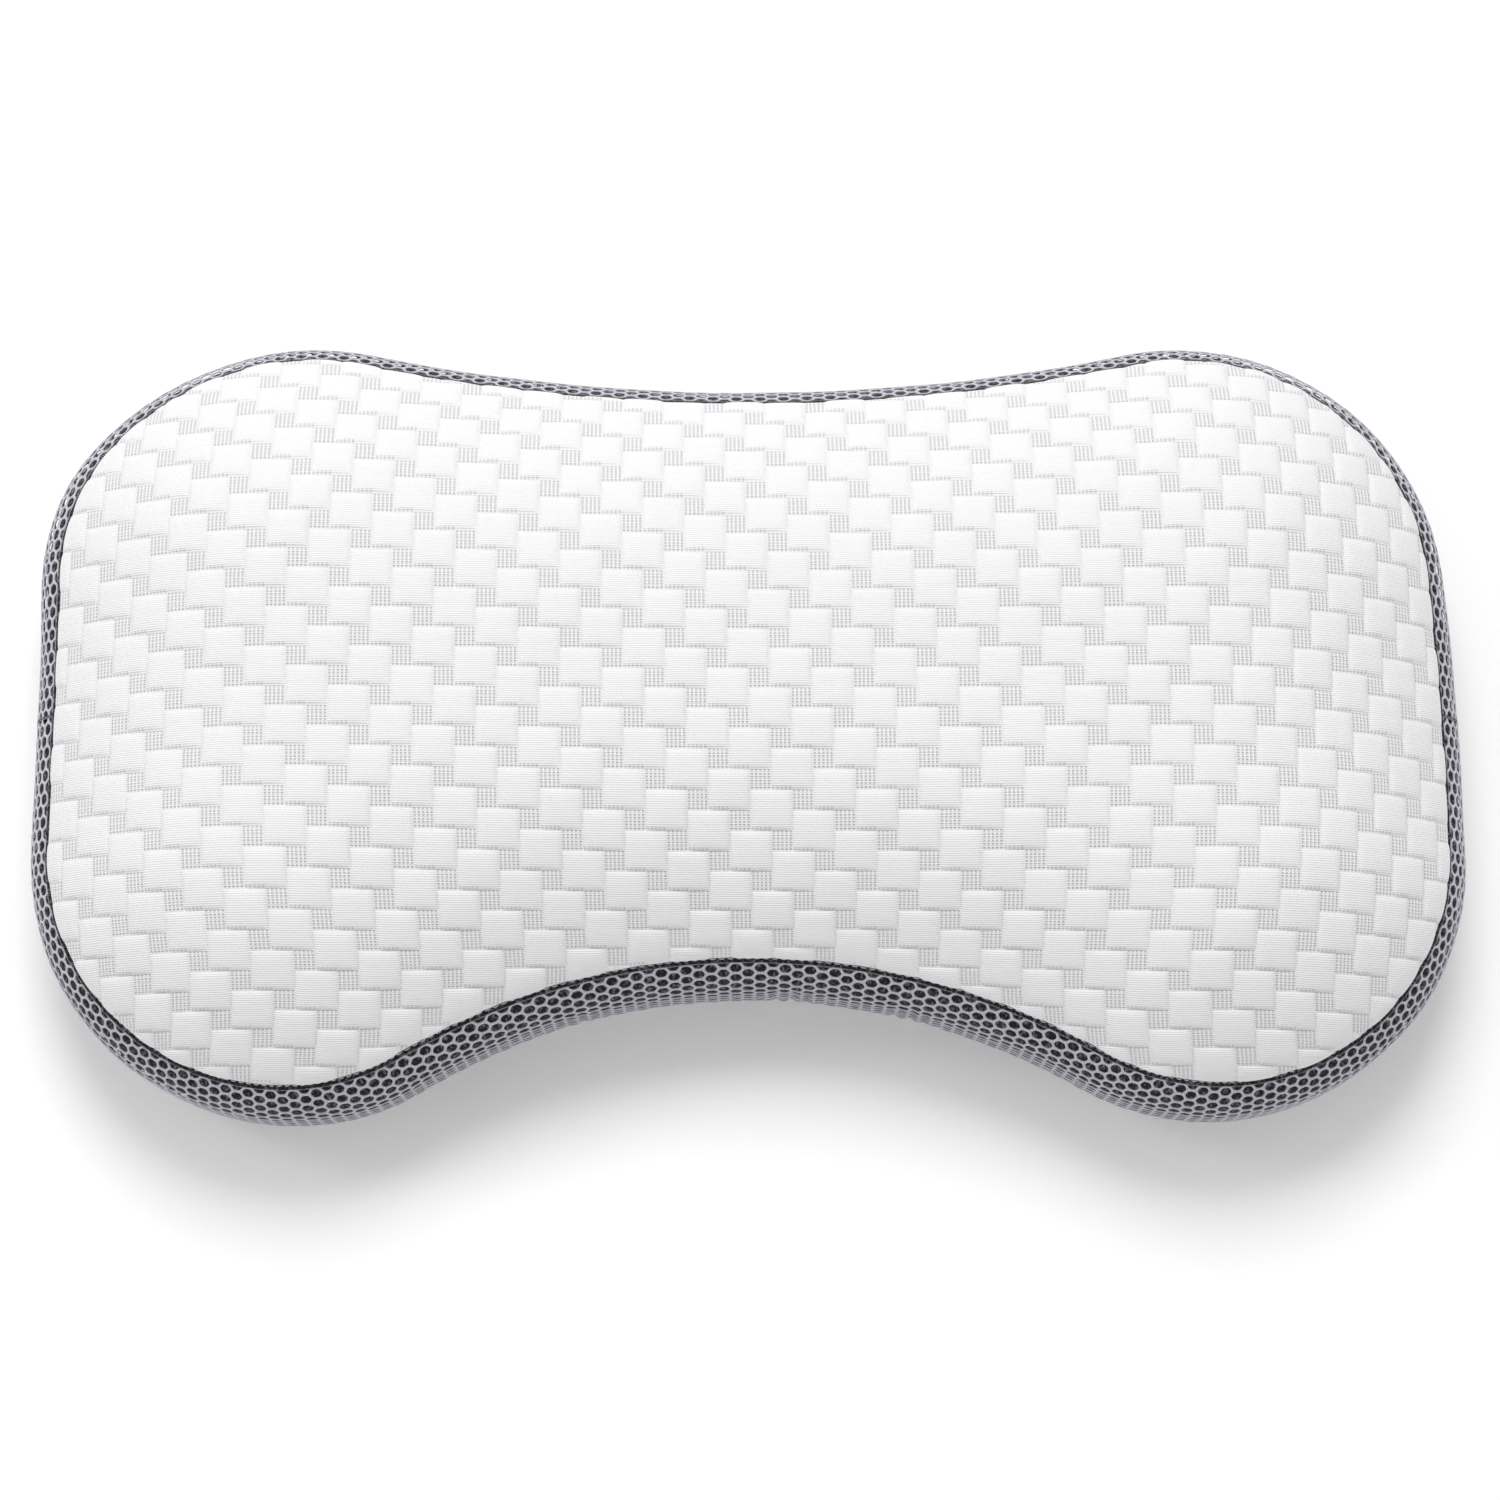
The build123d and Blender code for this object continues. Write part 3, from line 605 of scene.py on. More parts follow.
def memory_foam(colours):
    """Moulded viscoelastic foam: dull cream, pitted by open cells 0.6 mm across, with painted shade darkening each
    pit.
    """
    material, tree, shader = new_material("viscoelastic_foam", Roughness=0.95)
    place = add(tree, "ShaderNodeTexCoord").outputs["Object"]
    cells = add(tree, "ShaderNodeTexVoronoi", [(place, "Vector")], Scale=1 / (0.6 * MM))
    bump = add(tree, "ShaderNodeBump", [(cells.outputs[0], "Height")], Strength=0.5, Distance=0.3 * MM)
    # Painted shade: the colour is darker where the cell bump is low, in the pits.
    mix = add(
        tree,
        "ShaderNodeMix",
        [(cells.outputs[0], 0)],
        data_type="RGBA",
        in_6=rgba([c * 0.8 for c in colours.foam]),
        in_7=rgba(colours.foam),
    )
    tree.links.new(mix.outputs[2], shader.inputs["Base Color"])
    tree.links.new(bump.outputs[0], shader.inputs["Normal"])
    return material


# Quilted top

SEAM_ROLL = 1.6 * MM
EDGE_SETBACK = 2.0 * MM
QUILT_ORIGIN = (-25.3 * MM, 2.5 * MM)
QUILT_LEAN = 0.0147
CREASE_LINES = np.array([0.0, 0.07, 0.2, 0.4, 0.6, 0.8, 0.93])


def quilt_cell(s, t):
    """Class of each quilt unit: 0 is a lattice square, 1 to 4 are the quarters of a large square.

    The pattern is a Pythagorean tiling of squares of one and two units.
    """
    return np.mod(np.floor(s) - 2 * np.floor(t), 5)


def quilt_relief(s, t, puff):
    """Rise of the knit over its creases: large squares swell, lattice squares stay low."""
    s, t = s + 1e-9, t + 1e-9
    cell = quilt_cell(s, t)
    a, b = s - np.floor(s), t - np.floor(t)
    wide = np.abs(a + ((cell == 2) | (cell == 4)) - 1)
    deep = np.abs(b + ((cell == 1) | (cell == 2)) - 1)
    large = np.sqrt(np.clip(1 - wide**3.2, 0, 1) * np.clip(1 - deep**3.2, 0, 1))
    small = 0.22 * np.sqrt(np.clip(1 - np.abs(2 * a - 1) ** 6, 0, 1) * np.clip(1 - np.abs(2 * b - 1) ** 6, 0, 1))
    column = np.floor(s) - ((cell == 2) | (cell == 4))
    line = np.floor(t) - ((cell == 1) | (cell == 2))
    odd = np.sin(column * 12.9898 + line * 78.233) * 43758.5453
    plump = 0.85 + 0.3 * (odd - np.floor(odd))
    return puff * np.where(cell == 0, small, large * plump)


class Cloth:
    """Lays the quilted knit on the dome so that its lengths along X and Y are kept."""

    STEP = 2 * MM

    def __init__(self, shape):
        self.shape = shape
        sizes = shape.sizes
        reach = sizes.width / 2 + 10 * MM
        self.x = np.arange(-reach, reach, self.STEP)
        self.y = np.arange(sizes.front - 10 * MM, sizes.rear + 10 * MM, self.STEP)
        grid_x, grid_y = np.meshgrid(self.x, self.y, indexing="ij")
        height = shape.dome(grid_x, grid_y, SEAM_ROLL)
        slope_x, slope_y = np.gradient(height, self.STEP)
        self.run_x = np.cumsum(np.hypot(1, slope_x), 0) * self.STEP
        self.run_y = np.cumsum(np.hypot(1, slope_y), 1) * self.STEP
        self.run_x -= self.sample(self.run_x, 0.0 * self.y, self.y)[None, :]
        self.run_y -= self.sample(self.run_y, self.x, 0.0 * self.x)[:, None]

    def sample(self, table, x, y):
        """Bilinear value of a table at plan points."""
        fx = np.clip((x - self.x[0]) / self.STEP, 0, len(self.x) - 1.001)
        fy = np.clip((y - self.y[0]) / self.STEP, 0, len(self.y) - 1.001)
        i, j = fx.astype(int), fy.astype(int)
        u, v = fx - i, fy - j
        low = table[i, j] * (1 - v) + table[i, j + 1] * v
        high = table[i + 1, j] * (1 - v) + table[i + 1, j + 1] * v
        return low * (1 - u) + high * u

    def units(self, x, y):
        """Quilt coordinates of plan points."""
        sizes = self.shape.sizes
        run_x, run_y = self.sample(self.run_x, x, y), self.sample(self.run_y, x, y)
        s = (run_x + QUILT_LEAN * run_y - QUILT_ORIGIN[0]) / sizes.quilt_x
        return s, -(run_y - QUILT_ORIGIN[1]) / sizes.quilt_y

    def place(self, s, t):
        """Plan points of quilt coordinates, by repeated correction."""
        sizes = self.shape.sizes
        run_y = -t * sizes.quilt_y + QUILT_ORIGIN[1]
        run_x = s * sizes.quilt_x + QUILT_ORIGIN[0] - QUILT_LEAN * run_y
        x, y = run_x.copy(), run_y.copy()
        for _ in range(40):
            x += 0.8 * (run_x - self.sample(self.run_x, x, y))
            y += 0.8 * (run_y - self.sample(self.run_y, x, y))
        return x, y


def quilt_lines(reach):
    """Mesh lines of the quilt, closer together beside each crease."""
    whole = np.arange(-reach, reach)
    return (whole[:, None] + CREASE_LINES[None, :]).ravel()


def make_top_panel(shape, material):
    """Quilted panel: a grid on the quilt's creases, cut at the seam, rolled under and closed below."""
    sizes = shape.sizes
    cloth = Cloth(shape)
    s, t = np.meshgrid(quilt_lines(42), quilt_lines(24), indexing="ij")
    x, y = cloth.place(s, t)
    along, inset = shape.locate(x, y)
    index = np.arange(s.size).reshape(s.shape)
    quads = np.stack([index[:-1, :-1], index[:-1, 1:], index[1:, 1:], index[1:, :-1]], -1).reshape(-1, 4)
    inside = (inset > sizes.seam_inset + EDGE_SETBACK).ravel()
    quads = quads[inside[quads].all(1)]
    centre_s, centre_t = s.ravel()[quads].mean(1), t.ravel()[quads].mean(1)
    used = np.unique(quads)
    renumber = np.full(s.size, -1)
    renumber[used] = np.arange(len(used))
    quads = renumber[quads]
    s, t, x, y, along = (a.ravel()[used] for a in (s, t, x, y, along))

    border = walk_border(quads, along)
    along[border] = np.sort(along[border])
    plan = shape.rim(along[border], sizes.seam_inset + EDGE_SETBACK)
    x[border], y[border] = plan[:, 0], plan[:, 1]
    s[border], t[border] = cloth.units(x[border], y[border])

    inset = inset.ravel()[used]
    inset[border] = sizes.seam_inset + EDGE_SETBACK
    rim_share = np.clip((inset - sizes.seam_inset - EDGE_SETBACK) / (7 * MM), 0, 1)
    normal = shape.dome_normal(x, y, SEAM_ROLL)
    edge_out = shape.rim(along[border], sizes.seam_inset) - shape.rim(along[border], sizes.seam_inset + MM)
    edge_out /= np.linalg.norm(edge_out, axis=1, keepdims=True)
    slope = (sizes.height - SEAM_ROLL - sizes.seam_height) * DOME_POWER / sizes.dome_run
    level, fall = 1 / np.hypot(1, slope), slope / np.hypot(1, slope)
    normal[border] = np.column_stack([edge_out * fall, np.full(len(border), level)])
    wander = 0.35 * MM * (np.sin(x * 41 + 1.3) * np.cos(y * 57) + 0.6 * np.sin(x * 97 - y * 83))
    lift = SEAM_ROLL + quilt_relief(s, t, sizes.puff) + wander * np.clip(inset / 0.06, 0, 1)
    lift = lift * (0.55 + 0.45 * np.sqrt(rim_share))
    base = np.column_stack([x, y, shape.dome(x, y, SEAM_ROLL)])
    points = [base + normal * lift[:, None]]
    units = [np.column_stack([s, t])]

    seam_point = base[border]
    out = np.column_stack([edge_out * level, np.full(len(border), -fall)])
    up = normal[border]
    rows = []
    for turn in np.radians([18, 36, 54, 72, 90, 110, 130, 155, 180]):
        radius = np.maximum(lift[border] * np.cos(turn / 2) ** 2, 0.9 * MM)
        rows.append(seam_point + up * (radius * np.cos(turn))[:, None] + out * (radius * np.sin(turn))[:, None])
    below = SEAM_ROLL - sizes.panel
    for inner in np.linspace(sizes.seam_inset + 6 * MM, sizes.front_lobe - 8 * MM, 9):
        ring = shape.rim(along[border], inner)
        floor = np.column_stack([ring, shape.dome(ring[:, 0], ring[:, 1], SEAM_ROLL)])
        rows.append(floor + shape.dome_normal(ring[:, 0], ring[:, 1], SEAM_ROLL) * below)
    border_ring = border
    faces = quads.tolist()
    start = len(used)
    for row in rows:
        ring = np.arange(start, start + len(border))
        strip = np.stack([border_ring, ring, np.roll(ring, -1), np.roll(border_ring, -1)], -1)
        faces += strip.tolist()
        points.append(row)
        units.append(units[0][border] + 0.02 * len(units))
        border_ring = ring
        start += len(border)
    faces += [face[::-1] for face in middle_faces(shape, border_ring, along[border])]
    piece = make_object("quilted_top", np.concatenate(points), faces, material, np.concatenate(units))
    mark_stitches(piece, centre_s, centre_t, len(faces))
    return piece


def walk_border(quads, along):
    """Border points of the panel in walking order, from the one nearest the front's middle.

    Each point's distance to the start is found by jumps that double in length.
    """
    edges = np.stack([quads, np.roll(quads, -1, 1)], -1).reshape(-1, 2)
    key = np.sort(edges, 1) @ [len(along), 1]
    _, first, count = np.unique(key, return_index=True, return_counts=True)
    edges = edges[first[count == 1]]
    start = edges[np.argmin(along[edges[:, 0]]), 0]
    jump = np.arange(len(along))
    jump[edges[:, 0]] = edges[:, 1]
    jump[start] = start
    steps = (jump != np.arange(len(along))).astype(int)
    for _ in range(14):
        steps = steps + steps[jump]
        jump = jump[jump]
    steps[start] = len(edges)
    border = edges[:, 0]
    border = border[jump[border] == start]
    return border[np.argsort(-steps[border])]


def mark_stitches(piece, centre_s, centre_t, count):
    """Face attribute for the shader: x is 1 on lattice squares, y is 1 on rows of tie stitches."""
    cell = quilt_cell(centre_s, centre_t)
    low = centre_t - np.floor(centre_t)
    values = np.zeros((count, 3), np.float32)
    values[: len(cell), 0] = cell == 0
    values[: len(cell), 1] = 0.6 * (((cell == 1) & (low > 0.8)) | ((cell == 0) & (low < 0.07)))
    layer = piece.data.attributes.new("stitch", "FLOAT_VECTOR", "FACE")
    layer.data.foreach_set("vector", values.ravel())


# Mesh band

HOLE_SHARE = 0.41  # hole radius as a share of the pitch
WELD = 0.02 * MM

# Gathers on the neck side: distance from the middle, half width and depth
GATHERS = ((18 * MM, 11 * MM, 1.3 * MM), (68 * MM, 12 * MM, 1.2 * MM), (-70 * MM, 12 * MM, 0.7 * MM))
GATHER_PITCH = 6.5 * MM


def pucker(along, up, shape):
    """Small gathers that pull the band in on the neck side, and a faint waviness all round."""
    x = np.mod(along + shape.round / 2, shape.round) - shape.round / 2
    low = np.clip(1 - (up - shape.straight) / shape.straight, 0, 1)
    gathers = sum(
        size * np.exp(-(((x - place) / reach) ** 2)) * (0.5 + 0.5 * np.cos(TURN * (x - place) / GATHER_PITCH))
        for place, reach, size in GATHERS
    )
    wave = 0.35 * MM * np.sin(along / shape.round * TURN * 23) * np.sin(along / shape.round * TURN * 9 + 1)
    return gathers * low + wave * np.clip(1 - np.abs(up - shape.straight) / (25 * MM), 0, 1)


def make_net(shape, name, first, last, material, slot=None):
    """Net of round holes on a triangular lattice, each hole a ring of quads through the thickness."""
    sizes = shape.sizes
    pitch = sizes.mesh_pitch
    columns = round((last - first) / (pitch * np.sqrt(3)))
    step = (last - first) / columns
    low, high = shape.seam_down + 0.8 * MM, shape.seam_up - 1.4 * MM
    lines = round((high - low) / (pitch / 2))
    rise = (high - low) / lines
    line, column = np.meshgrid(np.arange(-1, lines + 2), np.arange(-1, columns + 1), indexing="ij")
    centre_along = (first + (column + 0.5 * np.mod(line, 2)) * step).ravel()
    centre_up = (low + line * rise).ravel()
    keep = (centre_up > low - rise / 2) & (centre_up < high + rise / 2)
    keep &= (centre_along > first - step / 3) & (centre_along < last + step / 3)
    if slot is not None:
        middle, half_run, centre, half_gap = slot
        keep &= (np.abs(centre_along - middle) > half_run) | (np.abs(centre_up - centre) > half_gap)
    centre_along, centre_up = centre_along[keep], centre_up[keep]
    angle = np.arange(12) / 12 * TURN
    corner = np.where(np.arange(12) % 2 == 0, 1 / np.sqrt(3), 0.5)
    hole = np.where(np.arange(12) % 2 == 0, HOLE_SHARE + 0.025, HOLE_SHARE)
    loops = ((corner, 0.0), (hole + 0.02, 0.12), (hole, 0.4), (hole, 1.0), (corner, 1.0))
    stretch = step / (pitch * np.sqrt(3))
    rings = []
    for radius, depth in loops:
        ring_along = centre_along[:, None] + radius * np.cos(angle) * pitch * stretch
        ring_up = centre_up[:, None] + radius * np.sin(angle) * 2 * rise
        ring_along = np.clip(ring_along, first, last)
        ring_up = np.clip(ring_up, low, high)
        if slot is not None:
            inside = (np.abs(ring_along - middle) < half_run) & (np.abs(ring_up - centre) < half_gap)
            above = np.broadcast_to(centre_up[:, None] > centre, ring_up.shape)
            beside = np.broadcast_to(np.abs(centre_up[:, None] - centre) <= half_gap, ring_up.shape)
            ring_up = np.where(inside & ~beside, centre + np.where(above, half_gap, -half_gap), ring_up)
            end = middle + np.sign(ring_along - middle) * half_run
            ring_along = np.where(inside & beside, end, ring_along)
        rings.append(np.stack([ring_along, ring_up, np.full(ring_up.shape, depth * sizes.net)], -1))
    grid = np.stack(rings, 1)
    cells = len(grid)
    index = np.arange(cells * len(loops) * 12).reshape(cells, len(loops), 12)
    a, b = index[:, :-1], index[:, 1:]
    quads = np.stack([a, np.roll(a, -1, 2), np.roll(b, -1, 2), b], -1).reshape(-1, 4)
    flat = grid.reshape(-1, 3)
    key = np.round(flat / WELD).astype(np.int64)
    _, kept, merged = np.unique(key, axis=0, return_index=True, return_inverse=True)
    quads = merged.ravel()[quads]
    quads = quads[(quads[:, 0] != quads[:, 2]) & (quads[:, 1] != quads[:, 3])]
    flat = flat[kept]
    quads = np.concatenate([quads, edge_walls(flat, quads, sizes.net)])
    inset, height = shape.wall(flat[:, 1], flat[:, 2])
    inset = inset + pucker(flat[:, 0], flat[:, 1], shape)
    plan = shape.rim(flat[:, 0], inset)
    points = np.column_stack([plan, height])
    same = quads == np.roll(quads, -1, 1)
    triangles = quads[same.sum(1) == 1]
    kept = ~same[same.sum(1) == 1]
    faces = quads[same.sum(1) == 0].tolist()
    faces += triangles[kept].reshape(-1, 3).tolist()
    return make_object(name, points, faces, material, flat[:, :2])


def edge_walls(flat, quads, thick):
    """Quads that close the free edge of a net: each loose edge of its face is joined to its twin behind."""
    edges = np.stack([quads, np.roll(quads, -1, 1)], -1).reshape(-1, 2)
    key = np.sort(edges, 1) @ [len(flat), 1]
    _, first, count = np.unique(key, return_index=True, return_counts=True)
    loose = edges[first[(count == 1) & (edges[first, 0] != edges[first, 1])]]
    loose = loose[(flat[loose, 2] < 0.01 * thick).all(1)]
    place = np.round(flat[:, :2] / WELD).astype(np.int64) @ [1000000, 1]
    behind = np.flatnonzero(flat[:, 2] > 0.99 * thick)
    behind = behind[np.argsort(place[behind])]
    spot = np.clip(np.searchsorted(place[behind], place[loose]), 0, len(behind) - 1)
    twin = behind[spot]
    found = (place[twin] == place[loose]).all(1)
    return np.column_stack([loose[:, ::-1], twin])[found]


# Operators


class PillowOperator:
    """What the pillow's operators share."""

    bl_options = {"REGISTER", "UNDO"}

    @classmethod
    def poll(cls, context):
        return context.scene is not None


CAMERA_ELEVATION = 78.0
CAMERA_DISTANCE = 1.505
CAMERA_TARGET = (0.0007, -0.0075, 0.03)
WORLD_STRENGTH = 0.68

# Name, diameter, watts and place of each lamp; all point at the origin
LIGHTS = (
    ("back_key", 1.3, 37.0, (-0.1, 1.5, 2.2)),
    ("side_key", 0.5, 4.5, (-1.7, 0.5, 1.5)),
)


class PILLOW_OT_stage(PillowOperator, bpy.types.Operator):
    """Camera, pale floor and soft studio light"""

    bl_idname = "pillow.stage"
    bl_label = "Stage"

    def execute(self, context):
        scene = context.scene
        scene.view_settings.view_transform = "Standard"
        camera = bpy.data.objects.new("camera", bpy.data.cameras.new("camera"))
        camera.data.lens = 85
        camera.data.sensor_width = 36
        elevation = np.radians(CAMERA_ELEVATION)
        camera.location = (
            CAMERA_TARGET[0],
            CAMERA_TARGET[1] - CAMERA_DISTANCE * np.cos(elevation),
            CAMERA_TARGET[2] + CAMERA_DISTANCE * np.sin(elevation),
        )
        camera.rotation_euler = (np.pi / 2 - elevation, 0, 0)
        scene.collection.objects.link(camera)
        scene.camera = camera

        material, tree, shader = new_material("matte_studio_paper", Roughness=0.9)
        shader.inputs["Base Color"].default_value = rgba(scene.pillow_colours.floor)
        shader.inputs["Specular IOR Level"].default_value = 0.0
        floor = make_object(
            "floor", [(-4, -4, 0), (4, -4, 0), (4, 4, 0), (-4, 4, 0)], [(0, 1, 2, 3)], material, smooth=False
        )
        floor.location.z = -0.2 * MM
        for name, size, power, place in LIGHTS:
            lamp = bpy.data.lights.new(name, "AREA")
            lamp.shape = "DISK"
            lamp.size = size
            lamp.energy = power
            holder = bpy.data.objects.new(name, lamp)
            holder.location = place
            aim = -np.array(place) / np.linalg.norm(place)
            holder.rotation_euler = (np.arccos(-aim[2]), 0, np.arctan2(-aim[0], aim[1]))
            scene.collection.objects.link(holder)
        world = bpy.data.worlds.new("studio")
        scene.world = world
        world.use_nodes = True
        world.node_tree.nodes["Background"].inputs["Color"].default_value = (1, 1, 1, 1)
        world.node_tree.nodes["Background"].inputs["Strength"].default_value = WORLD_STRENGTH
        return {"FINISHED"}


class PILLOW_OT_top(PillowOperator, bpy.types.Operator):
    """Quilted top panel"""

    bl_idname = "pillow.top"
    bl_label = "Quilted top"

    def execute(self, context):
        scene = context.scene
        material = quilted_knit(scene.pillow_colours)
        piece = make_top_panel(Shape(scene.pillow_sizes), material)
        finish_piece(piece, "pillow", "quilted_knit", "top_panel")
        return {"FINISHED"}


class PILLOW_OT_band(PillowOperator, bpy.types.Operator):
    """Open mesh band in a front and a rear strip, with its dark backing"""

    bl_idname = "pillow.band"
    bl_label = "Mesh band"

    def execute(self, context):
        scene = context.scene
        shape = Shape(scene.pillow_sizes)
        net = yarn_cloth("knitted_mesh_yarn", scene.pillow_colours.net, 0.55 * MM, depth=0.3, shade=0.45)
        backing = spacer_fabric(scene.pillow_colours)
        edge = 0.6 * MM
        ends = {
            "front": (-shape.side_seam + edge, shape.side_seam - edge),
            "rear": (shape.side_seam + edge, shape.round - shape.side_seam - edge),
        }
        for side, (first, last) in ends.items():
            slot = None
            if side == "rear":
                zipper = Zip(shape)
                slot = (shape.rear_middle, zipper.tape, zipper.up, ZIP_SLOT / 2)
            piece = make_net(shape, f"{side}_net", first, last, net, slot)
            finish_piece(piece, "pillow", "grey_net", f"{side}_band_net")
            along = np.linspace(first, last, 420)
            up, depth = strip_profile(shape.seam_down + MM, shape.seam_up - MM, 2.3 * MM, 2.7 * MM, 26)
            piece = sweep(shape, f"{side}_backing", along, up, depth, backing)
            finish_piece(piece, "pillow", "spacer_backing", f"{side}_band_backing")
        return {"FINISHED"}


ZIP_HEIGHT = 31 * MM
ZIP_SLOT = 12 * MM
CHAIN_MARGIN = 30 * MM
CHAIN_GAP = 1.4 * MM
COIL_WIDTH = 2.5 * MM
TAPE_WIDTH = 12.5 * MM
TAPE_DEPTH = 1.5 * MM
TOOTH_PITCH = 1.3 * MM


class Zip:
    """Places of the zip: its middle up the wall, and half lengths of its chain and tape."""

    def __init__(self, shape):
        self.up = ZIP_HEIGHT - shape.sizes.hem
        half_notch = (shape.starts[5] - shape.starts[4]) / 2
        self.chain = half_notch - CHAIN_MARGIN
        self.tape = self.chain + 2.8 * MM


BOTTOM_KNIT = 1.2 * MM


class PILLOW_OT_bottom(PillowOperator, bpy.types.Operator):
    """Plain bottom panel: flat on the floor and turned up at the hem"""

    bl_idname = "pillow.bottom"
    bl_label = "Bottom panel"

    def execute(self, context):
        scene = context.scene
        shape = Shape(scene.pillow_sizes)
        hem, thick = shape.sizes.hem, BOTTOM_KNIT
        start = -shape.seam_down / hem + 0.03
        turns = np.linspace(start, np.pi / 2, 9)
        flat = [26 * MM, 32 * MM, 45 * MM, 62 * MM, 80 * MM, 100 * MM]
        outer = [(hem - hem * np.cos(a), hem - hem * np.sin(a)) for a in turns] + [(f, 0.0) for f in flat]
        size = hem - thick
        inner = [(hem - size * np.cos(a), hem - size * np.sin(a)) for a in turns] + [(f, thick) for f in flat]
        material = yarn_cloth("plain_polyester_knit", scene.pillow_colours.plain, 0.9 * MM)
        piece = closed_body(shape, "plain_bottom", outer[::-1] + inner, material, 0.0)
        finish_piece(piece, "pillow", "plain_knit", "bottom_panel")
        return {"FINISHED"}


class PILLOW_OT_threads(PillowOperator, bpy.types.Operator):
    """Stitches of the top, bottom and side seams"""

    bl_idname = "pillow.threads"
    bl_label = "Seam stitches"

    def execute(self, context):
        scene = context.scene
        shape = Shape(scene.pillow_sizes)
        white = sewing_thread("white_polyester_thread", "#E9E9EB")
        grey = sewing_thread("grey_polyester_thread", "#8E8E96")
        count = round(shape.round / (3.5 * MM))
        along = np.arange(count) * shape.round / count
        piece = stitch_row(
            shape, "top_stitches", along, shape.seam_up - 0.1 * MM, 1.7 * MM, white, 1.0 * MM, 3.1 * MM
        )
        finish_piece(piece, "pillow", "white_thread", "top_seam_thread")
        piece = stitch_row(
            shape, "bottom_stitches", along, shape.seam_down, 0.6 * MM, grey, 1.0 * MM, 3.1 * MM
        )
        finish_piece(piece, "pillow", "grey_thread", "bottom_seam_thread")
        up = np.arange(shape.seam_down + 2.5 * MM, shape.seam_up - 2.5 * MM, 3.4 * MM)
        sides = np.array([shape.side_seam, shape.round - shape.side_seam])[:, None]
        piece = stitch_row(
            shape, "side_stitches", sides, up[None, :], 0.6 * MM, grey, 1.0 * MM, 3.0 * MM, upright=True
        )
        finish_piece(piece, "pillow", "grey_thread", "side_seam_threads")
        return {"FINISHED"}


def sewing_thread(name, code):
    """Spun polyester thread: slanting bands 0.45 mm apart cross its matte surface, with painted shade darkening the
    grooves between them.
    """
    material, tree, shader = new_material(name, Roughness=0.7, Sheen_Weight=0.1)
    place = add(tree, "ShaderNodeTexCoord").outputs["Object"]
    twist_relief_and_shade = add(tree, "ShaderNodeTexWave", [(place, "Vector")], Scale=0.314 / (0.45 * MM), Distortion=0.5)
    twist_relief_and_shade.bands_direction = "DIAGONAL"
    bump = add(tree, "ShaderNodeBump", [(twist_relief_and_shade.outputs[1], "Height")], Strength=0.6, Distance=0.1 * MM)
    colour = np.array(hex_colour(code))
    # Painted shade: the colour is darker where the band relief is low, in the grooves.
    mix = add(
        tree, "ShaderNodeMix", [(twist_relief_and_shade.outputs[1], 0)], data_type="RGBA", in_6=rgba(colour * 0.8), in_7=rgba(colour)
    )
    tree.links.new(mix.outputs[2], shader.inputs["Base Color"])
    tree.links.new(bump.outputs[0], shader.inputs["Normal"])
    return material


class PILLOW_OT_zip(PillowOperator, bpy.types.Operator):
    """Zip at the back: tapes, coils, stops, stitching, slider and pull"""

    bl_idname = "pillow.zip"
    bl_label = "Zip"

    def execute(self, context):
        scene = context.scene
        colours = scene.pillow_colours
        shape = Shape(scene.pillow_sizes)
        zipper = Zip(shape)
        middle = shape.rear_middle
        tape = yarn_cloth("woven_zip_tape", colours.tape, 0.6 * MM)
        coil = nylon(colours)
        metal = nickel(colours)
        along = np.linspace(middle - zipper.tape, middle + zipper.tape, 160)
        for word, side in (("upper", 1), ("lower", -1)):
            near = zipper.up + side * CHAIN_GAP / 2
            far = zipper.up + side * (CHAIN_GAP / 2 + TAPE_WIDTH)
            up, depth = strip_profile(min(near, far), max(near, far), TAPE_DEPTH, TAPE_DEPTH + 0.6 * MM, 12)
            piece = sweep(shape, f"tape_{word}", along, up, depth, tape)
            finish_piece(piece, "pillow", "zip_tape", f"zip_tape_{word}")
            piece = make_coil(shape, f"coil_{word}", middle, zipper, side, coil)
            finish_piece(piece, "pillow", "zip_coil", f"zip_coil_{word}")
        for node, body, radius in (
            ("zip_slider", "slider", 0.25),
            ("zip_pull", "pull", 0.22),
            ("zip_top_stops", "pillow", 0.3),
            ("zip_bottom_stop", "pillow", 0.3),
        ):
            piece = rounded_copy(f"{node}_metal", node, metal, radius * MM)
            finish_piece(piece, body, "zip_metal", node)
        grey = bpy.data.materials["grey_polyester_thread"]
        count = int(2 * (zipper.tape - 2.2 * MM) / (2.8 * MM))
        row = middle + (np.arange(count) - (count - 1) / 2) * 2.8 * MM
        rows = [(np.repeat(row, 2), np.tile(zipper.up + np.array([-8.5, 8.5]) * MM, count))]
        bar = zipper.up + np.arange(-5.6, 6, 0.7) * MM
        for side in (-1, 1):
            rows.append((np.full(len(bar), middle + side * (zipper.tape + 3.6 * MM)), bar))
        along, up = (np.concatenate(part) for part in zip(*rows))
        piece = stitch_row(shape, "zip_stitches", along, up, -0.05 * MM, grey, 0.6 * MM, 2.3 * MM)
        finish_piece(piece, "pillow", "grey_thread", "zip_stitching")
        return {"FINISHED"}


